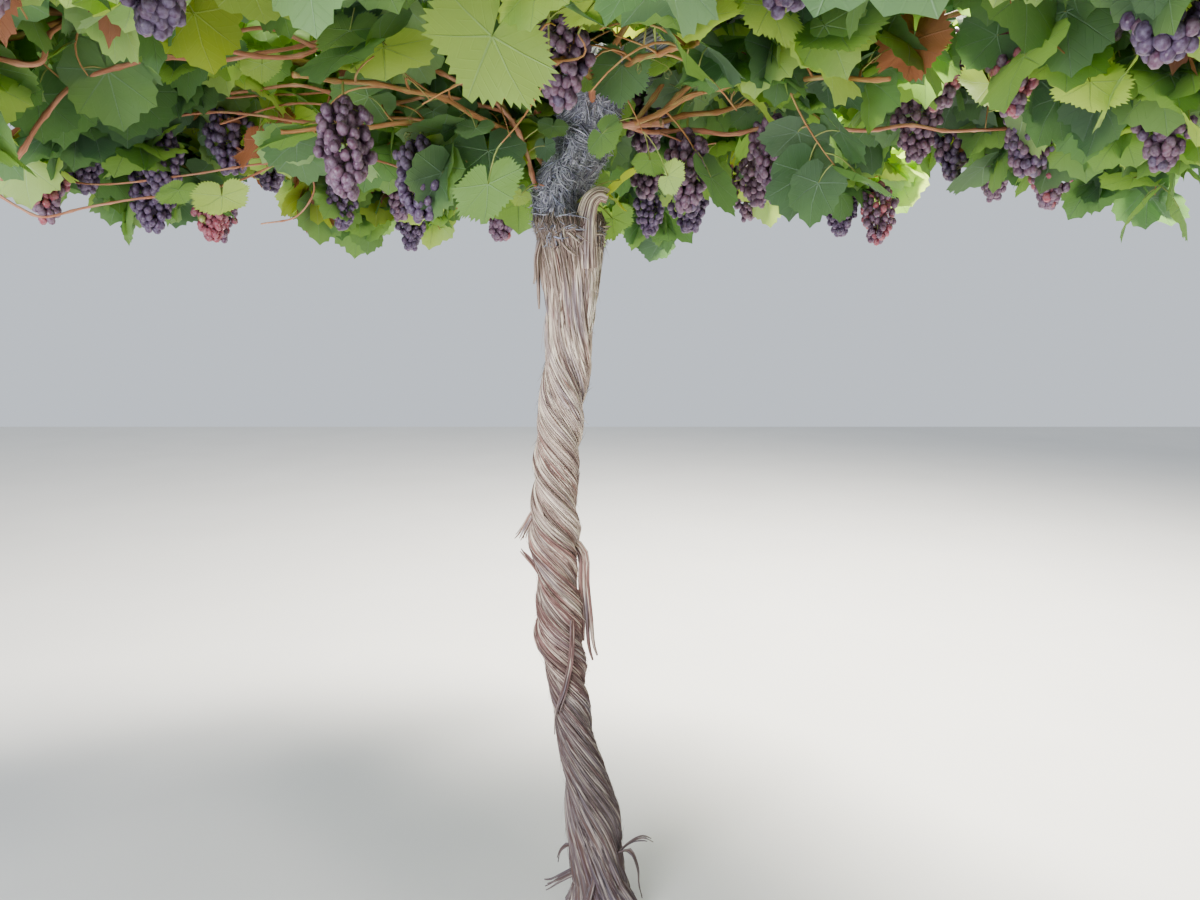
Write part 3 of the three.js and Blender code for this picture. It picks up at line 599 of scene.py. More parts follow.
class Curve:
    """A smooth curve through points, with its pace set by the root of the distances between them."""

    def __init__(self, points):
        points = np.asarray(points, float)
        self.points = np.vstack([2 * points[0] - points[1], points, 2 * points[-1] - points[-2]])
        self.gaps = np.linalg.norm(np.diff(self.points, axis=0), axis=1) ** 0.5
        self.steps = np.linspace(0, 1, 201)
        lengths = np.linalg.norm(np.diff(self.raw(self.steps), axis=0), axis=1)
        self.along = np.concatenate([[0], np.cumsum(lengths)])
        self.length = self.along[-1]

    def raw(self, t):
        """A cubic between two points, with slopes from the points on either side."""
        count = len(self.points) - 3
        i = np.minimum((t * count).astype(int), count - 1)
        w = (t * count - i)[:, None]
        a, b, c, d = (self.points[i + k] for k in range(4))
        before, here, after = (self.gaps[i + k][:, None] for k in range(3))
        leaving = ((b - a) / before - (c - a) / (before + here) + (c - b) / here) * here
        arriving = ((c - b) / here - (d - b) / (here + after) + (d - c) / after) * here
        return (b + leaving * w + (3 * (c - b) - 2 * leaving - arriving) * w ** 2
                + (2 * (b - c) + leaving + arriving) * w ** 3)

    def at(self, shares):
        """Points at shares of the curve's length."""
        shares = np.atleast_1d(np.asarray(shares, float))
        return self.raw(np.interp(shares * self.length, self.along, self.steps))

    def heading(self, shares):
        """Unit directions at shares of the curve's length."""
        shares = np.atleast_1d(np.asarray(shares, float))
        return unit(self.at(np.minimum(shares + 1e-4, 1)) - self.at(np.maximum(shares - 1e-4, 0)))

    def bearing(self, share):
        """The level angle of the curve's direction at a share of its length."""
        along = self.heading(share)[0]
        return np.arctan2(along[1], along[0])


def strip_ribbons(width, count, facing, line, key):
    """Ribbons side by side along one strip: each has a share of the width and strays at its frayed end."""
    height, degrees, off = np.transpose(line)
    right, back, radius = station_at(TRUNK_STATIONS, height).T
    turned = np.radians(degrees)
    reach = radius + off
    curve = Curve(stacked(right + reach * np.cos(turned), back + reach * np.sin(turned), height))
    each = np.arange(count)
    by = drawer(key, each)
    steps = np.linspace(0, 1, 14)
    shares = between(by(0, 0.04, 1), by(1, 0.75, 2), steps)
    paths = curve.at(shares.ravel()).reshape(count, len(steps), 3)
    outward = trunk.outwards(paths) if facing is None else unit(facing + 0 * paths)
    across = unit(np.cross(np.gradient(paths, axis=1), outward))
    place = ((each + 0.5) / count - 0.5)[:, None] * width * (1 + 0.3 * shares)
    stray = by(-0.45, 0.45, 3) * width * steps ** 5
    lift = by(-0.18, 0.42, 4) * width * steps ** 4
    paths = paths + across * (place + stray)[..., None] + outward * lift[..., None]
    half = width / count * 0.72 * (1 - 0.6 * steps ** 6) * np.minimum(1, 0.5 + steps * 6)
    return tubes(paths, half, 0.0011, 6, outward)


def lifting_fibres(stem, heights, count, longest, highest, key):
    """Flat fibres along the grain: each starts under the bark at a chance place and lifts off at one end."""
    each = np.arange(count)
    by = drawer(key, each)
    steps = np.linspace(0, 1, 7)
    way = np.where(chance(key, each, 3) < 0.7, -1, 1)[:, None]
    rise = by(*heights, 1) + way * by(0.03, longest, 2, power=2) * steps
    rise = np.clip(rise, heights[0] - 0.02, heights[1] + 0.01)
    places = stem.surface(by(0, 2 * np.pi, 4), rise)[0]
    outward = stem.outwards(places)
    lift = by(0.002, highest, 5, power=3) * steps ** 2 - 0.0006
    stray = by(-0.375, 0.375, 6) * highest * steps ** 2
    paths = places + outward * lift[..., None] + unit(np.cross(outward, UP)) * stray[..., None]
    half = by(0.0004, 0.0017, 7) * (1.05 - steps ** 2 * 0.9)
    return tubes(paths, half, half * 0.35, 4, outward, by(0.45, 0.95, 8))


loose = [strip_ribbons(*strip, 20 + i) for i, strip in enumerate(STRIPS)]
loose.append(lifting_fibres(trunk, (0.03, 1.56), 1400, 0.14, 0.014, 31))
print("ribbons of loose bark:", sum(count for _, count, _, _ in STRIPS))

# %% [markdown]
# ## How the vine branches
#
# Four arms leave the head in a cross, two canes go on from each arm's tip, and a mass of foliage starts
# where each cane ends. Four more masses start on the head itself. The rule and its numbers are those of
# the solids, so every shoot here runs along the middle of a solid shoot.

# %% Arms and canes
ARM_REACH = 0.45
ARM_ROOT_HEIGHT = 1.886
ARM_TIP_HEIGHT = 1.962
ARM_RADII = [0.029, 0.02]
ARM_WANDER = 0.014
ARM_BENDS = [[0.4, 0.55, 1], [0.7, 0.9, -1], [0.92, 1, 0]]
CANE_RADII = [0.0085, 0.0065]
STUB_LINE = [[-0.036, -0.006, TRUNK_TOP + CLEARANCE], [-0.033, -0.01, 1.63], [-0.02, -0.013, 1.654],
             [0.002, -0.014, 1.661], [0.015, -0.013, 1.648]]
STUB_RADII = [0.024, 0.013]


def polar(degrees, reach, height):
    """A point at a bearing from the right, a reach out and a height."""
    turn = np.radians(degrees)
    return stacked(np.cos(turn) * reach, np.sin(turn) * reach, height)


def arm_curve(index):
    """From the head's side out and up, with a little wander to each side."""
    angle = 45 + index * 90
    right, back, _ = station_at(HEAD_STATIONS, ARM_ROOT_HEIGHT)
    sway = (chance(index, 1) - 0.5) * 2
    points = [[right, back, ARM_ROOT_HEIGHT]]
    for share, climb, side in ARM_BENDS:
        height = between(ARM_ROOT_HEIGHT, ARM_TIP_HEIGHT, climb)
        wander = polar(angle + 90, sway * ARM_WANDER * side, 0)
        points.append(polar(angle, ARM_REACH * share, height) + wander)
    return Curve(points + [polar(angle, ARM_REACH, ARM_TIP_HEIGHT)])


def cane_curve(index):
    """Straight off the arm's flat tip, beside the other cane, then round to its own mass."""
    arm = arm_curves[index // 2]
    angle = 45 + index // 2 * 90
    turn = -1 if index % 2 == 0 else 1
    along = arm.heading(1)[0]
    aside = unit(np.cross(UP, along)) * turn * 0.010
    root = arm.at(1)[0] + aside + along * CLEARANCE
    return Curve([root, root + along * 0.040 + aside * 0.5, polar(angle + turn * 15, 0.610, 1.972),
                  polar(angle + turn * 22.5, 0.692, 1.976)])


arm_curves = [arm_curve(i) for i in range(4)]
cane_curves = [cane_curve(i) for i in range(8)]
print("arm lengths:", [round(float(arm.length), 3) for arm in arm_curves])


def balls_along(curve, radii, spacing):
    """Balls that fill a limb: a centre and a radius in each row."""
    count = int(np.ceil(curve.length / spacing))
    shares = np.linspace(0, 1, count + 1)
    return np.column_stack([curve.at(shares), between(*radii, shares)])


def station_balls(stations):
    """The same along a trunk that is given by stations, with room for its flutes."""
    count = int(np.ceil((stations[-1][0] - stations[0][0]) / 0.020))
    heights = np.linspace(stations[0][0], stations[-1][0], count + 1)
    right, back, radius = station_at(stations, heights).T
    return np.column_stack([right, back, heights, radius * 1.15])


limb_balls = np.concatenate(
    [balls_along(arm, ARM_RADII, 0.012) for arm in arm_curves]
    + [balls_along(cane, CANE_RADII, 0.008) for cane in cane_curves]
    + [station_balls(stations) for stations in (HEAD_STATIONS, TRUNK_STATIONS[-4:])]
    + [balls_along(Curve(STUB_LINE), STUB_RADII, 0.010)]
)
print("balls that foliage keeps clear of:", len(limb_balls))

# %% [markdown]
# ## Masses and shoots
#
# A mass has a short stem and four or five shoots. Each shoot leaves the stem, arches over and runs to its
# own place on the mass's rim: some to the top of the crown, some down to where the bunches hang. A shoot
# that would touch a limb or leave its sector tries a nearer aim.

# %% Masses and their shoots
CROWN_RADIUS = 1.500
CROWN_BOTTOM = 1.560
CROWN_TOP = 2.260
STEM_LENGTH = 0.130
SHOOT_RADII = [0.006, 0.004]
SHOOT_TIP_HEIGHTS = [1.790, 2.090, 1.890, 2.130, 1.750]
NODE_SPACING = 0.122
LIMB_ROOM = 0.004
SPACE_ROOM = 0.0015
INNER_STEMS = [
    ("inner_mass_right", [-0.040, 0.030, 1.792], 3), ("inner_mass_back", [-0.024, 0.032, 1.826], 16),
    ("inner_mass_left", [-0.090, 0.028, 1.672], 52), ("inner_mass_front", [-0.022, 0.030, 1.822], 14),
]
INNER_BUNCHES = [(0, 1), (2, 2), (3, 3)]
OUTER_BUNCHES = [(0, 2), (2, 1), (4, 3)]


class Mass:
    """A share of the crown: where it starts, the sector it keeps to, its shoots and its bunches."""

    def __init__(self, name, number, start, heading, angle, half, reaches, shoots, bunches):
        self.name, self.number, self.start, self.bunches = name, number, start, bunches
        self.angle, self.half, (self.inner, self.outer) = angle, half, reaches
        self.stem = Curve([start, start + heading * STEM_LENGTH / 2, start + heading * STEM_LENGTH])
        curves = [self.fitting_shoot(index, shoots) for index in range(shoots)]
        self.shoots = [(index, curve) for index, curve in enumerate(curves) if curve]

    def holds(self, points, room=SPACE_ROOM, rim=None):
        """True for points inside the mass's sector, between its two reaches and the crown's two heights. Room
        is kept to the neighbours, rim to the crown's outside."""
        rim = room if rim is None else rim
        distance = np.hypot(points[..., 0], points[..., 1])
        bearing = np.degrees(np.arctan2(points[..., 1], points[..., 0]))
        off = np.abs((bearing - self.angle + 180) % 360 - 180)
        near = (off < 90) & (np.sin(np.radians(self.half - off)) * distance > room)
        end = rim if self.outer == CROWN_RADIUS else room
        within = (distance > self.inner + room) & (distance < self.outer - end)
        return near & within & (points[..., 2] > CROWN_BOTTOM) & (points[..., 2] < CROWN_TOP)

    def clear_of_limbs(self, balls):
        """True where balls touch no limb other than the one that the mass starts on."""
        apart = np.linalg.norm(balls[:, None, :3] - limb_balls[:, :3], axis=2)
        free = apart > limb_balls[:, 3] + balls[:, None, 3] + LIMB_ROOM
        own = np.linalg.norm(limb_balls[:, :3] - self.start, axis=1) < limb_balls[:, 3] + LIMB_ROOM
        return (free | own).all(axis=1)

    def fitting_shoot(self, index, shoots):
        """The first of five tries that keeps to the sector and clear of the limbs."""
        share = index / (shoots - 1) * 2 - 1
        fork = self.stem.at(between(0.9, 0.5, abs(share)))[0]
        tip_height = SHOOT_TIP_HEIGHTS[(index + self.number) % 5]
        arch = 0.130 * between(0.2, 1, chance(self.number, index, 2))
        lift = arch if tip_height > 1.950 else arch * 0.35
        sway = (chance(self.number, index, 3) - 0.5) * 0.070
        for attempt in range(5):
            aim = self.angle + share * self.half * (0.86 - 0.08 * attempt)
            tip = polar(aim, self.outer - between(0.045, 0.105, chance(self.number, index, 1)), tip_height)
            middle = between(fork, tip, 0.45) + UP * lift + polar(aim + 90, 1, 0) * sway / (attempt + 1)
            curve = Curve([fork, middle, tip])
            balls = balls_along(curve, SHOOT_RADII, 0.015)
            if self.holds(balls[:, :3]).all() and self.clear_of_limbs(balls).all():
                return curve
        return None


def inner_mass(number):
    """A mass that grows from the head through one of its four sides."""
    name, root, pitch = INNER_STEMS[number]
    heading = polar(number * 90, np.cos(np.radians(pitch)), np.sin(np.radians(pitch)))
    start = np.array(root) + heading * 0.040
    return Mass(name, number, start, heading, number * 90, 45, (0, 0.700), 4, INNER_BUNCHES)


def outer_mass(index):
    """A mass that goes on from a cane's tip."""
    curve = cane_curves[index]
    heading = curve.heading(1)[0]
    start = curve.at(1)[0] + heading * CLEARANCE
    return Mass(f"outer_mass_{index + 1}", index + 4, start, heading, (index + 0.5) * 45, 22.5,
                (0.688, CROWN_RADIUS), 5, OUTER_BUNCHES)


masses = [inner_mass(i) for i in range(4)] + [outer_mass(i) for i in range(8)]
print("shoots in each mass:", [len(mass.shoots) for mass in masses])

# %% [markdown]
# ## Where sprays and bunches go
#
# On the solids, each node of a shoot bears one large leaf, which tries up to fourteen ways to stand clear
# of limbs, bunches and other leaves. Those tries are repeated here, because a spray of real leaves then
# grows just where a large leaf stands. The test asks whether an edge of one passes through a face of another.

# %% Leaf places
LEAF_LENGTH = 0.265
LEAF_WIDTH = 0.205
LEAF_OUTLINE = np.array([[0, 0, 0], [0.3, 0.72, -0.03], [0.62, 1, -0.07], [1, 0, -0.16], [0.62, -1, -0.07],
                         [0.3, -0.72, -0.03]])
LEAF_CENTRE = [0.52, 0, 0.02]
BUNCH_RINGS = [[0, 0.0016], [0.034, 0.0036], [0.062, 0.048], [0.128, 0.054], [0.212, 0.015]]


def crossing(one, other):
    """True if any edge of one set of triangles passes through any face of the other: solves for the share
    along the edge and the two shares across the face, for all pairs at once."""
    edges = np.concatenate([one[:, [0, 1]], one[:, [1, 2]], one[:, [2, 0]]])
    start, run = edges[:, None, 0], (edges[:, 1] - edges[:, 0])[:, None]
    corner, first, second = other[:, 0], other[:, 1] - other[:, 0], other[:, 2] - other[:, 0]
    across = np.cross(run, second)
    size = (across * first).sum(-1)
    size = np.where(np.abs(size) < 1e-15, 1e-15, size)
    offset = start - corner
    u = (across * offset).sum(-1) / size
    turned = np.cross(offset, first)
    v = (turned * run).sum(-1) / size
    t = (turned * second).sum(-1) / size
    return ((u >= 0) & (v >= 0) & (u + v <= 1) & (t > 0) & (t < 1)).any()


def closest_on(faces, points):
    """The distance from each point to the nearest place on any triangle: its plane where the foot of the
    perpendicular lies inside, else an edge."""
    a, b, c = (faces[None, :, k] for k in range(3))
    normal = unit(np.cross(b - a, c - a))
    offset = points[:, None]
    plane = np.abs(((offset - a) * normal).sum(-1))
    edges = ((a, b), (b, c), (c, a))
    sides = [(np.cross(end - start, offset - start) * normal).sum(-1) for start, end in edges]
    inside = (np.stack(sides) >= 0).all(axis=0)
    least = np.where(inside, plane, np.inf)
    for start, end in edges:
        run = end - start
        share = np.clip(((offset - start) * run).sum(-1) / (run * run).sum(-1), 0, 1)
        least = np.minimum(least, np.linalg.norm(offset - start - run * share[..., None], axis=-1))
    return least.min(axis=1)


def fits(mass, faces):
    """True when triangles stay in the mass's sector and clear of limbs other than the one it starts on."""
    if not mass.holds(faces.reshape(-1, 3)).all():
        return False
    room = limb_balls[:, 3] + LIMB_ROOM
    low, high = faces.min(axis=(0, 1)), faces.max(axis=(0, 1))
    beyond = np.maximum(low - limb_balls[:, :3], limb_balls[:, :3] - high)
    outside = np.linalg.norm(np.maximum(beyond, 0), axis=1)
    own = np.linalg.norm(limb_balls[:, :3] - mass.start, axis=1) < room + 0.002
    near = (outside <= room) & ~own
    return not near.any() or not (closest_on(faces, limb_balls[near, :3]) < room[near]).any()


def clear_of(placed, faces, shoot):
    """True when triangles cross nothing that is already in the mass, apart from their own shoot's things."""
    low, high = faces.min(axis=(0, 1)), faces.max(axis=(0, 1))
    for other_shoot, other in placed:
        apart = (other.min(axis=(0, 1)) > high).any() or (other.max(axis=(0, 1)) < low).any()
        if other_shoot != shoot and not apart and (crossing(faces, other) or crossing(other, faces)):
            return False
    return True


def ring_faces(rings):
    """The sides of a tube of rings, as triangles."""
    below, above = rings[:-1], rings[1:]
    below_on, above_on = np.roll(below, -1, axis=1), np.roll(above, -1, axis=1)
    halves = [np.stack([above, above_on, below], axis=2), np.stack([above_on, below_on, below], axis=2)]
    return np.concatenate([half.reshape(-1, 3, 3) for half in halves])


def on_shoot(bends, share):
    """A place on the four straight stretches between a solid shoot's bends."""
    bend = min(int(share * 4), 3)
    return between(bends[bend], bends[bend + 1], share * 4 - bend)


def new_spray(mass, root, turn, pitch, size, roll=0):
    """A spray of a mass: where it grows, its middle line's way, the way across it and its size. The turn is
    in radians, pitch and roll are in degrees."""
    along = heading_of(turn, np.radians(pitch))
    across = rolled(unit(np.cross(UP, along)), along, np.radians(roll))
    return {"mass": mass.number, "root": root, "along": along, "across": across, "size": size}


def tried_leaf(mass, curve, bends, index, node, count, attempt):
    """One try: by turns on one side of the shoot and the other, the rest of how it stands by chance."""
    share = (node + 0.62) / count
    other = attempt % 4 == 3
    side = -1 if ((node + index) % 2 == 0) == other else 1
    key = mass.number * 7 + index
    swing, pitch, roll, scale = (chance(key, node, attempt, draw) for draw in range(1, 5))
    turn = curve.bearing(share) + np.radians(side * between(50, 110, swing))
    size = between(0.86, 1.14, scale) - 0.02 * attempt
    pitch, roll = between(-62, 40, pitch), between(-35, 35, roll)
    return new_spray(mass, on_shoot(bends, share), turn, pitch, size, roll)


def leaf_faces(leaf):
    """The six triangles of a solid's large leaf."""
    axes = np.stack([leaf["along"] * LEAF_LENGTH, leaf["across"] * LEAF_WIDTH / 2,
                     np.cross(leaf["along"], leaf["across"]) * LEAF_LENGTH]) * leaf["size"]
    rim = leaf["root"] + LEAF_OUTLINE @ axes
    middle = leaf["root"] + LEAF_CENTRE @ axes
    return np.stack([rim, np.roll(rim, -1, axis=0), np.broadcast_to(middle, rim.shape)], axis=1)


def bunch_rings(root, keys):
    """A hanging bunch: uneven rings, widest below the shoulders."""
    depth, radius = np.transpose(BUNCH_RINGS)
    ring, side = np.meshgrid(np.arange(5), np.arange(6), indexing="ij")
    angle = (side + ring % 2 / 2) / 6 * 2 * np.pi
    uneven = np.where(ring < 2, 1, 1 + 0.32 * (chance(*keys, ring * 10 + side) - 0.5))
    reach = radius[:, None] * uneven
    return root + stacked(-reach * np.cos(angle), reach * np.sin(angle), -depth[:, None])


def grow(mass):
    """The sprays of a mass and the places of its bunches, in the order in which its solid grows them."""
    sprays, bunches, placed, shoots = [], [], [], []
    for index, curve in mass.shoots:
        bends = curve.at(np.linspace(0, 1, 5))
        shoots.append((index, curve, bends, int(curve.length / NODE_SPACING)))
        along = unit(np.gradient(bends, axis=0))[:, None]
        radii = np.linspace(*SHOOT_RADII, 5)[:, None, None]
        rings = bends[:, None] + radii * rolled(unit(np.cross(UP, along)), along, around(3)[:, None])
        placed.append((index, ring_faces(rings)))
    for index, curve, bends, count in shoots:
        for node in [node for shoot, node in mass.bunches if shoot == index]:
            root = on_shoot(bends, (node + 0.31) / count)
            faces = ring_faces(bunch_rings(root, [mass.number, index]))
            if fits(mass, faces) and clear_of(placed, faces, index):
                placed.append((None, faces))
                bunches.append(root)
    for index, curve, bends, count in shoots:
        for node in range(count):
            for attempt in range(14):
                leaf = tried_leaf(mass, curve, bends, index, node, count, attempt)
                faces = leaf_faces(leaf)
                if fits(mass, faces) and clear_of(placed, faces, index):
                    placed.append((None, faces))
                    sprays.append(leaf)
                    break
    return sprays, bunches


sprays, bunches = (sum(column, []) for column in zip(*(grow(mass) for mass in masses)))
print("sprays:", len(sprays), "bunches on the solids:", len(bunches))


def finer_sprays(mass):
    """Shorter sprays between the nodes: each aims level to one side, where the sectors of the crown meet."""
    for index, curve in mass.shoots:
        for node in range(3, int(curve.length / NODE_SPACING * 2), 2):
            share = (node + 0.3) / (curve.length / NODE_SPACING * 2)
            swing, pitch, size = (chance(mass.number * 7 + index, node, 180, draw) for draw in range(3))
            side = 1 if index % 2 or index == len(mass.shoots) - 1 else -1
            turn = curve.bearing(share) + np.radians(between(35, 95, swing)) * side
            size = between(0.6, 0.95, size)
            yield new_spray(mass, curve.at(share)[0], turn, between(-35, 30, pitch), size)


LIMB_NODES = 8


def limb_sprays(curve, mass, key):
    """Sprays along a cane or an arm, turned up over the gaps where masses meet."""
    for node in range(LIMB_NODES):
        swing, pitch, size = (chance(key, node, 190, draw) for draw in range(3))
        turn = np.radians(360 * (node + swing) * 0.38)
        root = curve.at((node + 0.5) / LIMB_NODES)[0]
        yield new_spray(mass, root, turn, between(5, 50, pitch), between(0.65, 1.0, size))


for mass in masses:
    sprays += finer_sprays(mass)
ON_LIMBS = len(sprays)
for index, cane in enumerate(cane_curves):
    sprays += limb_sprays(cane, masses[index + 4], index)
for index, arm in enumerate(arm_curves):
    sprays += limb_sprays(arm, masses[index], index + 8)
print("sprays with the finer ones:", len(sprays))

# %% [markdown]
# ## Head, arms and canes
#
# Above the trunk the wood is darker and its bark hangs in shaggy tufts. The head's wall is made as the
# trunk's was, with lumps where old arms were cut, and is coated with fibres. A pale stub of sawn wood
# leans out of its foot to the right.

# %% Head and its fibres
def head_relief(angles, heights):
    """Lumps, then strands and shingles that wander much more than the trunk's."""
    lumps = noise(wound(angles, heights, 1.6, 11.0), 41)
    thick = strands(angles, heights, 9, 1.6, 7.0, 42)
    thin = strands(angles, heights, 27, 2.6, 12.0, 43)
    strips = shingles(angles, heights, 14, 1.8, 9.0, 44)
    height = 0.011 * lumps + 0.005 * thick + 0.0028 * thin + 0.005 * strips
    return height - 0.012, 0.2 * lumps + 0.3 * thick + 0.3 * thin + 0.2 * strips


HEAD_LOW, HEAD_HIGH = HEAD_STATIONS[0][0], HEAD_STATIONS[-1][0]
head = Stem(HEAD_STATIONS, HEAD_FLUTES, head_relief)
add_piece("head_bark", head.wall(HEAD_LOW, HEAD_HIGH, 150, 200, 0.012), dark_bark, ["head"])


def curled_fibres(stem, heights, count, key, lean=1.0):
    """Bent fibres in tufts of nine: each lies along the bark at its tuft's slant and curls off it. A lean
    below one crowds them to the upper end of their heights."""
    each = np.arange(count)
    by = drawer(key, each)
    tuft = each // 9
    steps = np.linspace(0, 1, 7)
    start = by(*heights, 1) * 0.15 + spread(*heights, key, tuft, 11, power=lean) * 0.85
    length = by(0.02, 0.085, 2, power=1.5) / len(steps)
    slant = np.pi * spread(0.45, 1.55, key, tuft, 3) + by(-0.35, 0.35, 13)
    way = slant + (spread(-1.6, 1.6, key, tuft, 4) + by(-0.4, 0.4, 14)) * steps
    rise = np.clip(start + np.cumsum(np.cos(way), axis=1) * length, heights[0] - 0.03, heights[1] + 0.01)
    angles = spread(0, 2 * np.pi, key, tuft, 5) + by(-0.175, 0.175, 15)
    angles = angles + np.cumsum(np.sin(way), axis=1) * length / 0.055
    low = np.clip(rise, stem.stations[0][0], stem.stations[-1][0])
    places = stem.surface(angles, low)[0]
    outward = stem.outwards(places)
    lift = by(0.001, 0.020, 6, power=2.5) * steps ** 1.5
    paths = places + outward * lift[..., None] + UP * (rise - low)[..., None]
    half = by(0.0008, 0.0028, 7, power=1.5) * (1.05 - steps ** 3 * 0.85)
    return tubes(paths, half, half * 0.3, 4, outward, by(0.30, 1.0, 8))


head_fibres = joined([
    lifting_fibres(head, (HEAD_LOW + 0.03, HEAD_HIGH - 0.02), 1150, 0.09, 0.022, 45),
    curled_fibres(head, (HEAD_LOW + 0.005, HEAD_HIGH - 0.01), 2400, 46),
    curled_fibres(trunk, (TRUNK_TOP - 0.030, TRUNK_TOP - 0.002), 216, 62, 0.45),
])


# %% Stub and arms
def rough_limb(curve, radii, rows, sides, depth, key, outward=None):
    """One limb's wall with strands along it: the radius tapers and swells by slow noise."""
    shares = np.linspace(0, 1, rows)[None, :, None]
    angles = around(sides)[None, None]
    walked = shares * curve.length
    ridge = (0.5 * strands(angles, walked, 7, 1.2, 9.0, key)
             + 0.3 * strands(angles, walked, 19, 2.0, 16.0, key + 1)
             + 0.2 * noise(wound(angles, walked, 5.0, 60.0), key + 2))
    swell = noise(wound(angles, walked, 1.1, 14.0), key + 3) - 0.5
    reach = between(*radii, shares) * (1 + 0.16 * swell) + depth * (ridge - 0.6)
    facing = None if outward is None else np.broadcast_to(outward, (1, rows, 3))
    return tubes(curve.at(shares.ravel())[None], reach, None, sides, facing, ridge)


# The stub as it is seen: it leaves the trunk's front like a buttress and hooks over to the right
SEEN_STUB = [[-0.040, -0.030, 1.500], [-0.038, -0.044, 1.560], [-0.033, -0.045, 1.606],
             [-0.023, -0.044, 1.634], [-0.006, -0.043, 1.645], [0.011, -0.042, 1.640]]
SEEN_STUB_RADII = [0.0300, 0.0135]
stub_shape = rough_limb(Curve(SEEN_STUB), SEEN_STUB_RADII, 70, 72, 0.005, 51, [0, 1.0, 0])


def painted_highlight_crest(count):
    """Painted highlight along the hook's top, where light falls: near-white flat splinters side by side."""
    shares = between(0.60, 0.995, np.linspace(0, 1, 12))
    turn = np.linspace(-0.5, 0.7, count)[:, None]
    middle = Curve(SEEN_STUB).at(shares)
    along = unit(np.gradient(middle, axis=0))
    left = unit(np.cross(along, [0, 1.0, 0]))
    outward = left * np.cos(turn)[..., None] - np.array([0, 1.0, 0]) * np.sin(turn)[..., None]
    paths = middle + outward * (between(*SEEN_STUB_RADII, shares) * 1.02)[:, None]
    ease = np.sin(np.pi * np.linspace(0.05, 0.85, 12)) ** 0.5
    return tubes(paths, 0.0019 * ease, 0.0010, 4, outward, 0.9)


def collar(count, key):
    """Torn bark round the trunk's top: flat splinters that lean over its edge to the head and hide it."""
    by = drawer(key, np.arange(count))
    steps = np.linspace(0, 1, 7)
    start = by(1.42, 1.592, 2, power=0.7)
    rise = between(start, TRUNK_TOP + by(-0.010, 0.020, 3, power=1.8), steps)
    low = np.minimum(rise, TRUNK_TOP - 0.002)
    places = trunk.surface(by(0, 2 * np.pi, 1), low)[0]
    outward = trunk.outwards(places)
    over = np.maximum(rise - low, 0)
    drawn = 0.0036 * np.minimum(1, steps * 3) - 0.0016 - by(0.15, 0.95, 4) * over
    bulge = by(0.0, 0.007, 5, power=2) * steps ** 2
    paths = places + outward * (drawn + bulge)[..., None] + UP * over[..., None]
    half = by(0.0010, 0.0036, 6) * (1.05 - 0.85 * steps ** 3)
    return tubes(paths, half, 0.0010, 4, outward, by(0.5, 0.95, 7))


def painted_highlight_edge(count, key):
    """Painted highlight down the right of the trunk's top, where sun falls: long near-white flat splinters
    side by side.
    """
    by = drawer(key, np.arange(count))
    steps = np.linspace(0, 1, 9)
    start = by(1.35, 1.55, 2)
    end = np.minimum(start + by(0.05, 0.14, 3), TRUNK_TOP - 0.002)
    rise = between(start, end, steps)
    places = trunk.surface(by(-0.85, 0.10, 1) - twist_at(rise), rise)[0]
    outward = trunk.outwards(places)
    under = np.abs(2 * steps - 1) ** 3
    lift = 0.0016 - 0.0034 * under + by(0.0, 0.006, 4, power=3) * steps ** 2
    half = by(0.0012, 0.0038, 5) * np.sin(np.pi * (0.06 + 0.88 * steps)) ** 0.5
    return tubes(places + outward * lift[..., None], half, 0.0009, 4, outward, 0.8)


add_piece("sawn_stub", stub_shape, stub_bark, ["pruned_stub"])
# Painted highlight: near-white splinters on the trunk's right and along the stub's top, where the light falls
add_piece("painted_highlight_splinters", joined([painted_highlight_edge(190, 54), painted_highlight_crest(6)]), painted_highlight_finish)
over_top = curled_fibres(trunk, (1.53, TRUNK_TOP - 0.002), 396, 47, 0.40)
add_piece("loose_bark", joined(loose + [collar(420, 55), over_top]), pale_bark)
arm_shapes = [rough_limb(arm, ARM_RADII, 130, 56, 0.008, 60 + 5 * i) for i, arm in enumerate(arm_curves)]
add_piece("arm_bark", joined(arm_shapes), dark_bark, [f"arm_{i + 1}" for i in range(4)])


def limb_fibres(curve, radii, count, key):
    """Fibres that stand off a limb: each starts on its side and strays outwards along it."""
    by = drawer(key, np.arange(count))
    steps = np.linspace(0, 1, 6)
    run = by(0.03, 0.10, 1) / curve.length * steps
    shares = np.clip(by(0, 1, 2) + run, 0, 0.995)
    places = curve.at(shares.ravel()).reshape(count, 6, 3)
    along = unit(np.gradient(places + steps[:, None] * 1e-5, axis=1))
    turn = by(0, 2 * np.pi, 3) + by(-0.4, 0.4, 4) * (steps - 0.5)
    outward = rolled(unit(np.cross(UP, along)), along, turn[..., None])
    lift = between(*radii, shares) + by(0.001, 0.018, 5, power=2) * steps ** 2 - 0.001
    half = by(0.0005, 0.0018, 6) * (1.05 - 0.9 * steps ** 2)
    return tubes(places + outward * lift[..., None], half, half * 0.35, 4, outward,
                 by(0.4, 0.95, 7))


arm_fibres = [limb_fibres(arm, ARM_RADII, 260, 80 + i) for i, arm in enumerate(arm_curves)]
add_piece("head_fibres", head_fibres, dark_bark)
add_piece("arm_fibres", joined(arm_fibres), dark_bark)

# %% [markdown]
# ## Canes and shoots
#
# This year's canes are smooth and terracotta. They bend a little at every node and swell there, so a
# plain round tube would look like a pipe. The zigzag is a push to alternate sides, eased between nodes.

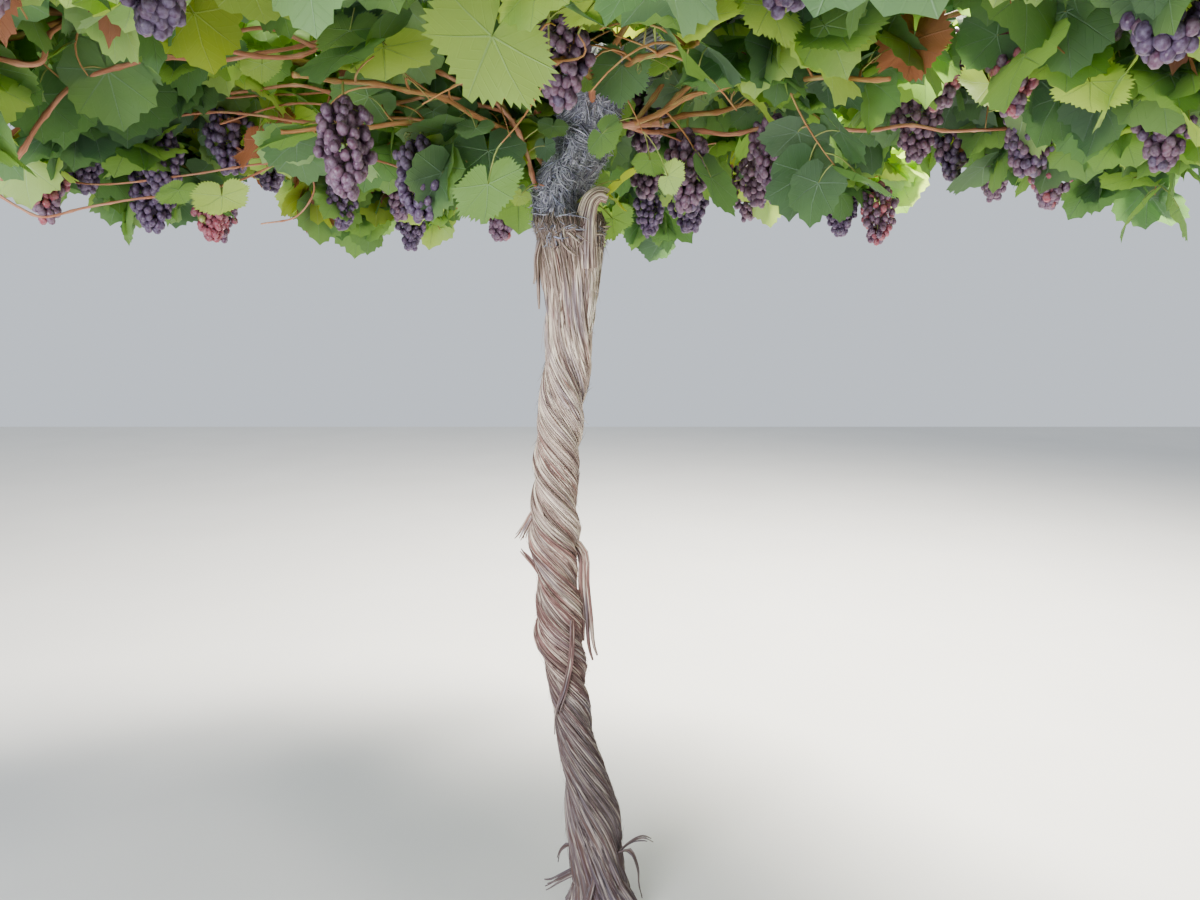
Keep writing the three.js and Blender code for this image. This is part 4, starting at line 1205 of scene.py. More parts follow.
# %% Cane finish
def cane_finish(name, skin, pale, dark):
    """Smooth young bark: fine lines along the cane, paler and darker by slow noise."""
    finish = Finish(name)
    grain = finish.layer("grain", 1)
    slow = finish.along_grain(grain, 60, 14, 3.0)
    lines = finish.along_grain(grain, 900, 30, 2.0)
    line = finish.step(lines, 0.58, 0.35) * 0.55
    return finish.done(finish.surface({
        "Base Color": finish.coated(skin, (finish.step(slow, 0.45, 0.70), pale), (line, dark)),
        "Roughness": slow * 0.2 + 0.5,
        "Specular IOR Level": 0.3,
        "Normal": finish.bump(lines, 0.0006),
    }))


cane_skin = cane_finish("terracotta_cane", (0.50, 0.225, 0.14), (0.66, 0.40, 0.28), (0.26, 0.115, 0.08))
shoot_skin = cane_finish("red_green_shoot", (0.45, 0.23, 0.105), (0.47, 0.40, 0.17), (0.26, 0.12, 0.06))
stalk_skin = cane_finish("green_stalk", (0.33, 0.40, 0.13), (0.46, 0.30, 0.16), (0.20, 0.24, 0.08))


# %% Canes and shoots
def noded_path(curve, steps, spacing, push, key):
    """Points along a curve, pushed to alternate sides at each node, and how much the cane swells there."""
    shares = np.linspace(0, 1, steps)
    places = curve.at(shares)
    at_node = shares * curve.length / spacing
    side = np.cos(np.pi * at_node)
    along = unit(np.gradient(places, axis=0))
    sideways = rolled(unit(np.cross(UP, along)), along, chance(key, 5) * 2 * np.pi)
    eased = np.sin(np.pi * np.clip(shares, 0, 1)) ** 0.5
    near = np.abs(at_node - np.round(at_node)) * spacing
    return places + sideways * (side * push * eased)[:, None], 1 + 0.38 * np.exp(-(near / 0.007) ** 2)


def cane_tubes(curves, radii, steps, sides, spacing, push, key):
    """Joined tubes along curves, thick at the first end, with swollen nodes."""
    made = [noded_path(curve, steps, spacing, push, key + i) for i, curve in enumerate(curves)]
    paths, swells = (np.stack(column) for column in zip(*made))
    return tubes(paths, between(*radii, np.linspace(0, 1, steps)) * swells, sides=sides)


shoot_curves = [curve for mass in masses for _, curve in mass.shoots]
cane_shape = joined([
    cane_tubes(cane_curves, CANE_RADII, 70, 12, 0.055, 0.0015, 100),
    cane_tubes([mass.stem for mass in masses], [0.0070, 0.0075], 30, 12, 0.065, 0.001, 120),
])
shoot_shape = cane_tubes(shoot_curves, SHOOT_RADII, 90, 8, NODE_SPACING / 1.5, 0.004, 140)

# %% [markdown]
# ## Laterals
#
# Where a solid has one large leaf, a lateral grows along its middle and carries real leaves, each on a long
# stalk. Nine leaves of 13 to 16 cm stand for one of 27 cm, because the solids can afford a few hundred and
# the vine has a few thousand.

# %% Laterals
LATERAL_STEPS = 7
spray_mass, spray_root, spray_along, spray_across, spray_size = (
    np.array(column) for column in zip(*(made.values() for made in sprays)))
spray_number = np.arange(len(sprays))
# From each spray's root along it: a share of the large leaf's length, with a slow bend and a lift
steps = np.linspace(0, 1, LATERAL_STEPS)
length = LEAF_LENGTH * spray_size[:, None] * spread(0.50, 0.72, spray_number, 201)
bow = steps * (1 - steps) * 4
bend = spread(-0.03, 0.03, spray_number, 202) * bow
lift = spread(-0.01, 0.03, spray_number, 203) * bow
laterals = (spray_root[:, None] + spray_along[:, None] * (length * steps)[..., None]
            + spray_across[:, None] * bend[..., None] + UP * lift[..., None])
lateral_shape = tubes(laterals, np.linspace(0.0026, 0.0012, LATERAL_STEPS), sides=5)
add_piece("shoots", joined([shoot_shape, lateral_shape]), shoot_skin,
          [mass.name for mass in masses])

# %% [markdown]
# ## A vine leaf
#
# The blade is a fan round the point where the stalk joins. Its rim has five lobes with teeth, given for
# one half as bearing from the tip and share of the leaf's length, and mirrored. A middle ring lets each
# blade cup, fold along its midrib and ripple. The layer blade keeps the flat place of each point, which
# the finish needs for the veins, and tone gives each leaf a shade of its own.

# %% Leaf blade
HALF_RIM = [
    (7, 0.92), (13, 0.89), (20, 0.90), (27, 0.79), (35, 0.87), (41, 0.85), (48, 0.93), (56, 0.84),
    (64, 0.86), (73, 0.74), (83, 0.81), (97, 0.82), (110, 0.73), (130, 0.71), (152, 0.62), (172, 0.46),
]
MID_RING = 0.42
DRY_WIDTH = 0.55
DRY_CRUMPLE = 2.2


def leaf_template(half_rim, step):
    """Flat places and triangles: the stalk's point, a middle ring at every few rim points, and the rim, from
    one side of the stalk round the tip to the other."""
    half = np.array(half_rim)
    bearing = np.radians(np.concatenate([-half[::-1, 0], [0], half[:, 0]]))
    reach = np.concatenate([half[::-1, 1], [1], half[:, 1]])
    rim = stacked(np.sin(bearing) * reach, np.cos(bearing) * reach)
    chosen = np.arange(0, len(rim), step)
    reach = reach[chosen, None]
    middle = rim[chosen] / reach * (0.25 + MID_RING * reach) * 0.75
    faces = []
    for i in range(len(middle) - 1):
        inner, outer = 1 + i, 1 + len(middle) + i * step
        faces.append([0, inner + 1, inner])
        turn = outer + step // 2 + 1
        faces += [[inner, k + 1, k] for k in range(outer, turn)]
        faces.append([inner, inner + 1, turn])
        faces += [[inner + 1, k + 1, k] for k in range(turn, outer + step)]
    return np.concatenate([[[0, 0]], middle, rim]), np.array(faces)


def leaves(roots, tips, faces_up, sizes, keys, template, dry=False):
    """Blades as arrays: root, the way to the tip, the way the face looks, and size from stalk to tip. Keys
    give every blade its own cup, fold, droop, ripple and width. A dry one is narrow and crumpled."""
    flat, triangles = template
    x, y = flat[:, 0], flat[:, 1]
    reach = np.hypot(x, y)
    by = drawer(keys, 210)
    width = by(0.88, 1.10, 5) * (DRY_WIDTH if dry else 1)
    cup = by(-0.10, 0.16, 0) * np.abs(x) + by(-0.30, 0.05, 1) * reach ** 2
    droop = by(-0.28, 0.06, 2) * y * np.abs(y)
    waves = np.sin(np.arctan2(x, y) * 5 + by(0, 6, 4)) * reach ** 2
    height = (cup + droop + by(0.02, 0.08, 3) * waves) * (DRY_CRUMPLE if dry else 1)
    tips = unit(tips)
    side = unit(np.cross(tips, faces_up))
    normal = np.cross(side, tips)
    flat_blade = side[:, None] * (x * width)[..., None] + tips[:, None] * y[:, None]
    points = roots[:, None] + sizes[:, None, None] * (flat_blade + normal[:, None] * height[..., None])
    starts = np.arange(len(roots))[:, None, None] * len(flat)
    blade = np.broadcast_to(stacked(x, y, 0), points.shape).reshape(-1, 3)
    tone = np.broadcast_to(spread(0, 1, keys, 220), points.shape[:2]).reshape(-1, 1)
    return Shape(points, (), triangles + starts, blade=blade, tone=tone)


plain_leaf = leaf_template(HALF_RIM, 4)
print("triangles in one leaf:", len(plain_leaf[1]))

# %% [markdown]
# ## Leaves on their stalks
#
# Stalks leave a lateral by turns to left and right and turn up to the light. The blade then hangs from
# the stalk's end. A leaf that would leave its mass, touch a limb or stand in the open view of the head
# takes a new draw, and after a few draws is left out.

# %% Leaf stalks and blades
LEAVES_PER_SPRAY = 9
LEAF_DRAWS = 5
NEIGHBOUR_OVERLAP = 0.085
LIMB_OVERLAP = 0.30
RIM_OVERLAP = 0.012
VIEW_POINT = np.array([-0.006, -1.965, 1.407])
VIEW_PITCH = np.radians(8.8)
PHOTO_WIDE, PHOTO_HIGH = 1200, 900
PIXELS_AT_ONE = 900


def seen_at(points):
    """Where a point stands in the photograph, in its pixels, and its depth along the view."""
    off = points - VIEW_POINT
    depth = off[..., 1] * np.cos(VIEW_PITCH) - off[..., 2] * np.sin(VIEW_PITCH)
    rise = off[..., 1] * np.sin(VIEW_PITCH) + off[..., 2] * np.cos(VIEW_PITCH)
    safe = np.where(np.abs(depth) < 1e-6, 1e-6, depth)
    right = PHOTO_WIDE / 2 + PIXELS_AT_ONE * off[..., 0] / safe
    return right, PHOTO_HIGH / 2 - PIXELS_AT_ONE * rise / safe, depth


NEAREST_LEAF = 0.62
# Parts of the photograph that stay open: left, right, top and bottom edge, the depth up to which leaves
# are kept out, and the share of them that is
OPEN_VIEW = [
    (468, 655, 35, 420, 1.80, 1.00), (600, 745, 98, 152, 1.96, 1.00), (740, 1015, 116, 140, 2.05, 0.85),
    (300, 540, 88, 126, 1.90, 0.85), (0, 420, 12, 118, 1.95, 0.68), (820, 1130, 6, 44, 1.72, 0.60),
]


def hides_view(points, numbers=0):
    """True for rows of points of which one stands before an open part of the view, or too near by."""
    right, down, depth = seen_at(points)
    ahead = depth > 0
    hides = (ahead & (depth < NEAREST_LEAF) & (down > 0) & (right > 0) & (right < PHOTO_WIDE)).any(axis=1)
    for i, (left, end, top, bottom, limit, share) in enumerate(OPEN_VIEW):
        inside = (right > left) & (right < end) & (down > top) & (down < bottom)
        before = (ahead & (depth < limit) & inside).any(axis=1)
        hides |= before & (chance(numbers, 290, i) < share)
    return hides


def free_places(points, owner, numbers):
    """True for rows of points that stay in their mass, clear of limbs and out of the open view."""
    stays = np.zeros(len(points), bool)
    for mass in masses:
        mine = owner == mass.number
        from_shoot = numbers[mine] // LEAVES_PER_SPRAY < ON_LIMBS
        room = -np.where(from_shoot, NEIGHBOUR_OVERLAP, LIMB_OVERLAP)[:, None]
        stays[mine] = mass.holds(points[mine], room, -RIM_OVERLAP).all(axis=1)
    low = points.min(axis=1) - 0.002
    high = points.max(axis=1) + 0.002
    for ball in limb_balls[::2]:
        inside = ((low < ball[:3] + ball[3]) & (high > ball[:3] - ball[3])).all(axis=1) & stays
        apart = np.linalg.norm(points[inside] - ball[:3], axis=-1).min(axis=1, initial=9)
        stays[inside] &= apart > ball[3]
    return stays & ~hides_view(points, numbers)


def drawn_leaves(numbers, draw):
    """Stalk and blade of each leaf at one draw: its root, stalk's end, tip's way, face's way and size."""
    spray, place = np.divmod(numbers, LEAVES_PER_SPRAY)
    by = drawer(numbers, draw)
    share = np.clip((place + by(0.1, 0.9, 1, 230)[:, 0]) / LEAVES_PER_SPRAY, 0.06, 1)
    at = share * (LATERAL_STEPS - 1)
    lower = np.minimum(at.astype(int), LATERAL_STEPS - 2)
    root = between(laterals[spray, lower], laterals[spray, lower + 1], (at - lower)[:, None])
    side = np.where(place % 2 == 0, 1, -1)[:, None]
    sideways = spray_across[spray] * side * by(0.5, 1.0, 3, 230)
    outward = unit(spray_along[spray] * by(0.1, 0.9, 2, 230) + sideways + UP * by(-0.5, 0.8, 4, 230))
    level = rolled(unit(outward * [1, 1, 0]), UP, by(-0.9, 0.9, 6, 230))
    droop = np.radians(by(8, 82, 7, 230))
    tip = level * np.cos(droop) - UP * np.sin(droop)
    face = rolled(UP * np.cos(droop) + level * np.sin(droop), tip, by(-0.75, 0.75, 8, 230))
    return root, root + outward * by(0.035, 0.085, 5, 230), tip, face, by(0.082, 0.112, 9, 230)[:, 0]


waiting, kept = np.arange(len(sprays) * LEAVES_PER_SPRAY), []
for draw in range(LEAF_DRAWS):
    drawn = drawn_leaves(waiting, draw)
    shape = leaves(*drawn[1:], waiting, plain_leaf)
    owner = spray_mass[waiting // LEAVES_PER_SPRAY]
    free = free_places(shape.points.reshape(len(waiting), -1, 3), owner, waiting)
    kept.append((waiting[free], *[column[free] for column in drawn]))
    waiting = waiting[~free]
leaf_number, leaf_root, leaf_joint, leaf_tip, leaf_face, leaf_size = (np.concatenate(c) for c in zip(*kept))
print("leaves:", len(leaf_number), "left out:", len(waiting))


def stalk_tubes(roots, joints, half):
    """Leaf stalks: from root to blade with a small sag and rise, thicker where they leave the shoot."""
    steps = np.linspace(0, 1, 5)
    paths = roots[:, None] + (joints - roots)[:, None] * steps[:, None]
    length = np.linalg.norm(joints - roots, axis=1)[:, None]
    paths = paths + UP * (length * 0.12 * np.sin(np.pi * steps))[..., None]
    return tubes(paths, half * (1.15 - 0.4 * steps))


stalk_shapes = {"leaf_stalks": [stalk_tubes(leaf_root, leaf_joint, 0.0014)], "bunch_stalks": []}

# %% [markdown]
# ## The leaf's finish
#
# Light comes through a vine leaf: seen from below it is bright yellow-green between darker, duller veins.
# The face and the light that passes are mixed, and the veins pass less. Veins are drawn by the distance to
# five lines from the stalk, and by feathers between them.

# %% Leaf finishes
VEIN_BEARINGS = [0, 47, 98]


def leaf_finish(name, face, shade, glow, through=0.42):
    """A green or dry blade: colours by tone and slow noise, pale veins, and light through it."""
    finish = Finish(name)
    x, y, _ = finish.parts(finish.layer("blade", 1))
    x = abs(x)
    tone = finish.layer("tone")
    reach = x + abs(y)
    vein, nearest_off, nearest_along = None, None, None
    for bearing in VEIN_BEARINGS:
        turn = np.radians(bearing)
        off = abs(x * float(np.cos(turn)) - y * float(np.sin(turn)))
        along = x * float(np.sin(turn)) + y * float(np.cos(turn))
        ahead = finish.step(along, 0.0, 0.02)
        line = (1 - finish.step(off + reach * 0.010, 0.008, 0.024)) * ahead
        off = off + (1 - ahead)
        if vein is None:
            vein, nearest_off, nearest_along = line, off, along
        else:
            closer = finish.step(nearest_off - off, 0.0, 0.002)
            vein, nearest_off = vein.most(line), nearest_off.least(off)
            nearest_along = nearest_along + (along - nearest_along) * closer
    feather = abs(((nearest_along - nearest_off * 0.85) * 6.5).wrapped() - 0.5)
    feather = 1 - finish.step(feather, 0.02, 0.10)
    cloud = finish.noise(finish.places(), 38, 4.0, 0.6)
    shaded = finish.step(tone * 0.7 + cloud * 0.45, 0.30, 0.85)
    pale = tuple(min(1.0, channel * 1.45 + 0.06) for channel in face)
    skin = finish.surface({
        "Base Color": finish.coated(face, (shaded, shade), (vein * 0.60 + feather * cloud * 0.22, pale)),
        "Roughness": cloud * 0.2 + 0.46,
        "Specular IOR Level": 0.25,
        "Normal": finish.bump(vein * -0.8 - feather * 0.3 + cloud * 0.5, 0.0016),
    })
    light = finish.node("ShaderNodeBsdfTranslucent", {"Color": (*glow, 1.0)})
    share = through * (1 - vein * 0.5)
    return finish.done(finish.node("ShaderNodeMixShader", {0: share, 1: skin, 2: light}))


TINTS = [
    ("leaves_deep", 0.3, (0.13, 0.205, 0.13), (0.09, 0.15, 0.1), (0.24, 0.44, 0.13)),
    ("leaves_mid", 0.7, (0.165, 0.26, 0.145), (0.12, 0.2, 0.12), (0.38, 0.62, 0.14)),
    ("leaves_light", 0.92, (0.32, 0.45, 0.23), (0.225, 0.335, 0.175), (0.76, 1.0, 0.22)),
    ("leaves_yellow", 0.97, (0.33, 0.41, 0.1), (0.23, 0.32, 0.09), (0.74, 0.86, 0.12)),
    ("leaves_dry", 1.0, (0.4, 0.19, 0.125), (0.27, 0.12, 0.085), (0.56, 0.24, 0.14)),
]
leaf_finishes = {name: leaf_finish(name, face, shade, glow) for name, _, face, shade, glow in TINTS}


def dealt(draws, kinds, *columns):
    """Deals the rows of columns to kinds, by each row's draw and the share up to which a kind reaches."""
    lower = 0
    for name, upper, *_ in kinds:
        mine = (draws >= lower) & (draws < upper)
        yield name, [column[mine] for column in columns]
        lower = upper


spray_draw = chance(leaf_number // LEAVES_PER_SPRAY, 240) * 0.8 + chance(leaf_number, 241) * 0.2
spray_rank = spray_draw.argsort().argsort() / len(spray_draw)
tint_shapes = {}
for name, columns in dealt(spray_rank, TINTS, leaf_joint, leaf_tip, leaf_face, leaf_size, leaf_number):
    tint_shapes[name] = [leaves(*columns, plain_leaf, name == "leaves_dry")]

# %% [markdown]
# ## Bunches
#
# Table grapes hang straight down in long, shouldered bunches. Berries lie on the bunch's outline in a
# spiral with a golden-angle turn, which packs them evenly, and each sits a little in or out. The bunches
# of the solids come first, and more hang from the lower shoots where there is room.

# %% Bunch places
MORE_BUNCHES = 42


def more_bunch_places():
    """Shoot places under which a bunch has room: ranked by chance, and kept apart from those before."""
    places = []
    for mass in masses:
        for index, curve in mass.shoots:
            for node in range(int(curve.length / NODE_SPACING * 2)):
                share = (node + 0.5) / (curve.length / NODE_SPACING * 2)
                root = curve.at(share)[0]
                low = root - UP * 0.215
                room = mass.holds(np.array([low, root]), 0.02).all()
                if room and not hides_view(np.array([[low, root - UP * 0.1]]))[0]:
                    places.append((float(chance(mass.number, index, node, 250)), *root))
    places = np.array(sorted(places))[:, 1:]
    chosen = list(bunches)
    for place in places:
        apart = min(np.linalg.norm((place - other)[:2]) for other in chosen)
        clear = np.linalg.norm(limb_balls[:, :3] - (place - UP * 0.1), axis=1).min() > 0.14
        if apart > 0.17 and clear and len(chosen) < len(bunches) + MORE_BUNCHES:
            chosen.append(place)
    return np.array(chosen)


bunch_roots = more_bunch_places()
bunch_roots = bunch_roots[~hides_view((bunch_roots - UP * 0.1)[:, None])]
print("bunches:", len(bunch_roots))

# %% Berries
BERRIES = 112
BERRY_LONG = 1.22
GOLDEN_TURN = np.pi * (3 - 5 ** 0.5)


def berry_template(sides, rows):
    """A unit ball as a closed wall: single points at both poles, rings between them."""
    turn = np.linspace(0, np.pi, rows + 2)[1:-1]
    angles = around(sides)
    reach, height = np.sin(turn)[:, None], -np.cos(turn)[:, None]
    rings = stacked(reach * np.cos(angles), reach * np.sin(angles), height)
    points = np.concatenate([rings.reshape(-1, 3), [[0, 0, -1], [0, 0, 1]]])
    side = np.arange(sides)
    on, last = np.roll(side, -1), (rows - 1) * sides
    low = stacked(on, side, rows * sides)
    high = stacked(last + side, last + on, rows * sides + 1)
    return points, wall_faces(rows, sides)[0], np.concatenate([low, high])


def berry_places(roots, keys):
    """Berries round each bunch: evenly down its outline, turned by the golden angle, with a chance offset."""
    each = np.arange(BERRIES)
    depth, radius = np.transpose(BUNCH_RINGS)
    down = between(0.036, 0.205, (each + 0.5) / BERRIES) + (chance(keys[:, None], each, 1) - 0.5) * 0.012
    wide = np.interp(down, depth, radius) * between(0.20, 1.06, chance(keys[:, None], each, 2) ** 0.40)
    wide = np.maximum(wide * spread(0.85, 1.12, keys, 3) - 0.003, 0.004)
    angle = each * GOLDEN_TURN + chance(keys[:, None], each, 4) * 0.5
    down = down * spread(0.85, 1.05, keys, 5)
    return roots[:, None] + stacked(wide * np.cos(angle), wide * np.sin(angle), -down)


def berries(places, tones, template):
    """Oval berries at places: 18 by 23 mm, each leaning out a little and with its own size."""
    flat, quads, triangles = template
    key = np.arange(len(places))
    size = spread(0.0088, 0.0110, key, 260)
    long_way = unit(stacked(chance(key, 261) - 0.5, chance(key, 262) - 0.5, -1.2))
    side = unit(np.cross(long_way, [0, 1.0, 0]))
    other = np.cross(long_way, side)
    around_it = side[:, None] * flat[:, :1] + other[:, None] * flat[:, 1:2]
    points = places[:, None] + size[..., None] * (around_it + long_way[:, None] * flat[:, 2:] * BERRY_LONG)
    starts = np.arange(len(places))[:, None, None] * len(flat)
    tone = np.broadcast_to(tones[:, None], points.shape[:2]).reshape(-1, 1)
    return Shape(points, quads + starts, triangles + starts, tone=tone)


def berry_finish(name, skin, deep, bloom):
    """Smooth skin under a dusty bloom: the dust is rough and pale, and rubbed off in places."""
    finish = Finish(name)
    tone = finish.layer("tone")
    dust = finish.step(finish.noise(finish.places(), 150, 3.0, 0.6), 0.30, 0.66)
    return finish.done(finish.surface({
        "Base Color": finish.coated(skin, (tone, deep), (dust * 0.55, bloom)),
        "Roughness": dust * 0.35 + 0.28,
        "Coat Weight": 0.15,
    }))


BERRY_KINDS = [
    ("berries_purple", 0.42, (0.12, 0.06, 0.12), (0.065, 0.032, 0.08), (0.26, 0.22, 0.33)),
    ("berries_violet", 0.8, (0.185, 0.08, 0.13), (0.105, 0.045, 0.09), (0.32, 0.25, 0.33)),
    ("berries_red", 0.94, (0.37, 0.075, 0.1), (0.23, 0.045, 0.075), (0.48, 0.27, 0.32)),
    ("berries_green", 1.0, (0.35, 0.4, 0.12), (0.25, 0.32, 0.09), (0.42, 0.46, 0.24)),
]
berry_finishes = {name: berry_finish(name, *colours) for name, _, *colours in BERRY_KINDS}
berry_ball = berry_template(7, 3)


def add_bunches(roots, key):
    """Berries dealt out to the kinds, mostly by bunch and a little by berry, a stem down the middle of each
    bunch, and a short stalk out to every second berry."""
    keys = np.arange(len(roots)) + key
    places = berry_places(roots, keys)
    owner = np.repeat(keys, BERRIES)
    each = np.arange(len(owner)) + key * 100
    draws = chance(owner, 270) * 0.84 + chance(each, 271) * 0.16
    for name, columns in dealt(draws, BERRY_KINDS, places.reshape(-1, 3), chance(each, 272)):
        berry_shapes[name].append(berries(*columns, berry_ball))
    steps = np.linspace(0, 1, 6)
    stems = roots[:, None] - UP * (0.185 * steps)[:, None]
    berry = places[:, ::2].reshape(-1, 3)
    axis = np.repeat(roots, BERRIES // 2, axis=0)
    start = np.column_stack([axis[:, :2], np.minimum(berry[:, 2] + 0.014, axis[:, 2])])
    stalks = np.stack([start, between(start, berry, 0.5) + UP * 0.003, berry], 1)
    stalk_shapes["bunch_stalks"].append(tubes(stems, 0.0026 - 0.0014 * steps, sides=5))
    stalk_shapes["bunch_stalks"].append(tubes(stalks, 0.0008, sides=3))


berry_shapes = {name: [] for name in berry_finishes}
add_bunches(bunch_roots, 0)

# %% [markdown]
# ## Tendrils
#
# Thin green threads grow opposite the leaves. Each runs out, sags and ends in a coil: a circle whose
# radius shrinks as it goes.

# %% Tendrils
def tendrils(count, key):
    """Threads from chance places on the shoots, with two to three turns at the end."""
    each = np.arange(count)
    by = drawer(key, each)
    chosen = (chance(key, each, 1) * len(shoot_curves)).astype(int)
    shares = between(0.15, 0.95, chance(key, each, 2))
    roots = np.array([shoot_curves[shoot].at(share)[0] for shoot, share in zip(chosen, shares)])
    steps = np.linspace(0, 1, 22)
    level = heading_of(by(0, 2 * np.pi, 3), 0)
    length = by(0.05, 0.12, 4)
    out = np.minimum(steps, 0.6)
    sag = length * by(0.1, 0.9, 5) * out ** 2
    run = level * (length * out)[..., None] - UP * sag[..., None]
    coil = np.clip((steps - 0.45) / 0.55, 0, 1)
    radius = (0.011 * (1 - 0.7 * coil))[:, None]
    spin = (coil * by(9, 16, 6))[..., None]
    curl = radius * (level * np.sin(spin) + UP * (np.cos(spin) - 1)) * (coil > 0)[:, None]
    return tubes(roots[:, None] + run + curl, 0.0011 - 0.0006 * steps, sides=3)


stalk_shapes["leaf_stalks"].append(tendrils(150, 280))

# %% [markdown]
# ## What the photograph shows by the head
#
# Some leaves, canes and bunches near the head can be told apart in the photograph, so they are listed
# one by one. Each row gives where it stands in the photograph and how far off it is. The view point turns the
# two into a place in the frame, and a stalk ties each leaf or bunch to the nearest shoot.

# %% From the photograph to the frame
VIEW_AHEAD = np.array([0, np.cos(VIEW_PITCH), -np.sin(VIEW_PITCH)])
VIEW_UP = np.array([0, np.sin(VIEW_PITCH), np.cos(VIEW_PITCH)])
VIEW_RIGHT = np.array([1.0, 0, 0])


def from_view(right, down, depth):
    """The place that is seen at a pixel of the photograph, a depth away."""
    right, down, depth = (np.asarray(value, float)[..., None] for value in (right, down, depth))
    across, rise = (right - PHOTO_WIDE / 2) / PIXELS_AT_ONE, (PHOTO_HIGH / 2 - down) / PIXELS_AT_ONE
    return VIEW_POINT + depth * (VIEW_AHEAD + VIEW_RIGHT * across + VIEW_UP * rise)


# Each cane: half its thickness, then the places in the photograph that it runs through, with their depths.
# It thins a little to its tip, and the thinnest don't zigzag.
PHOTO_CANES = [
    (0.0052, [(604, 108, 1.96), (622, 122, 1.93), (640, 131, 1.92), (684, 130, 1.95), (724, 134, 1.96),
        (762, 128, 1.98), (798, 125, 2.0), (850, 131, 2.03), (905, 126, 2.06), (960, 131, 2.1),
        (1010, 128, 2.14)]),
    (0.0022, [(660, 133, 1.93), (676, 139, 1.92), (693, 146, 1.93), (716, 143, 1.95)]),
    (0.005, [(547, 205, 1.94), (535, 183, 1.89), (528, 158, 1.86), (516, 126, 1.84), (496, 104, 1.84),
        (455, 70, 1.9), (420, 40, 1.98), (395, 5, 2.1)]),
    (0.0016, [(538, 184, 1.88), (556, 190, 1.88), (576, 203, 1.9)]),
    (0.0034, [(596, 92, 1.95), (606, 74, 1.93), (640, 60, 1.95), (690, 66, 2.02), (760, 60, 2.12)]),
    (0.005, [(0, 178, 1.75), (24, 150, 1.72), (40, 120, 1.7), (66, 92, 1.68), (105, 70, 1.68),
        (150, 60, 1.7), (240, 58, 1.76), (330, 40, 1.84), (400, 44, 1.9)]),
    (0.0052, [(-90, 30, 1.5), (0, 58, 1.52), (40, 62, 1.54), (52, 34, 1.56), (100, 10, 1.6),
        (170, 14, 1.64), (250, 4, 1.7)]),
    (0.0055, [(-60, 8, 1.55), (60, 14, 1.6), (130, 32, 1.64), (200, 42, 1.68), (262, 58, 1.72),
        (322, 46, 1.76), (350, 14, 1.8), (352, -20, 1.84)]),
    (0.0042, [(505, 112, 1.86), (440, 96, 1.9), (380, 104, 1.94), (300, 86, 1.98), (200, 96, 2.04),
        (120, 84, 2.1), (20, 96, 2.18)]),
    (0.0036, [(480, 132, 1.9), (400, 118, 1.95), (310, 122, 2.0), (220, 112, 2.06), (110, 124, 2.12),
        (0, 116, 2.2)]),
    (0.0045, [(480, 92, 1.86), (410, 62, 1.8), (330, 50, 1.76), (270, 30, 1.74), (180, 36, 1.74),
        (90, 20, 1.76), (-20, 34, 1.8)]),
    (0.0028, [(430, 176, 2.0), (350, 156, 2.05), (260, 164, 2.1), (180, 176, 2.16), (90, 184, 2.2),
        (20, 168, 2.24)]),
    (0.0034, [(700, 66, 2.02), (800, 84, 2.06), (900, 92, 2.12), (1010, 74, 2.2), (1120, 82, 2.3)]),
    (0.004, [(1010, 128, 2.14), (1080, 100, 1.95), (1150, 60, 1.8), (1230, 50, 1.7)]),
    (0.0052, [(830, 30, 1.86), (868, 16, 1.8), (930, 20, 1.76), (985, 10, 1.74), (1045, 18, 1.74),
        (1100, 8, 1.78), (1150, -8, 1.84)]),
    (0.0038, [(870, 44, 1.84), (930, 36, 1.8), (975, 42, 1.78), (1040, 34, 1.76), (1085, 40, 1.76)]),
    (0.0052, [(589, 202, 1.98), (588, 190, 1.98), (585, 181, 1.99)]),
    (0.003, [(0, 196, 2.05), (20, 208, 2.05), (42, 217, 2.05), (84, 208, 2.08), (135, 199, 2.1),
        (182, 194, 2.12), (241, 180, 2.15), (300, 150, 2.18), (350, 120, 2.2)]),
    (0.0024, [(330, 96, 2.1), (318, 130, 2.1), (311, 168, 2.1), (314, 191, 2.1), (297, 216, 2.1),
        (261, 224, 2.12)]),
    (0.003, [(470, 118, 1.98), (401, 112, 2.0), (340, 106, 2.02), (289, 104, 2.04), (220, 124, 2.08)]),
    (0.0036, [(36, 115, 2.0), (80, 100, 2.0), (120, 92, 2.0), (157, 87, 2.02), (230, 96, 2.05),
        (330, 92, 2.08)]),
]
photo_curves = [Curve(from_view(*np.transpose(places))) for _, places in PHOTO_CANES]
photo_canes = []
for i, ((half, _), curve) in enumerate(zip(PHOTO_CANES, photo_curves)):
    steps = max(20, int(curve.length / 0.006))
    path, swell = noded_path(curve, steps, 0.085, 0.0028 if half > 0.003 else 0.0, 300 + i)
    photo_canes.append(tubes(path[None], (half * np.linspace(1, 0.7, steps) * swell)[None], sides=10))
add_piece("canes", joined([cane_shape] + photo_canes), cane_skin,
          [f"cane_{i + 1}" for i in range(8)])

# %% [markdown]
# The listed leaves are drawn with more teeth, as they are seen from near by. Under each tint, a leaf's
# row holds its stalk's place in the photograph, its depth, its size there, where its tip points (0 is
# down, 90 is right), and how it leans and rolls away from the viewer.

# %% Listed leaves and bunches
FINE_TEETH = 3
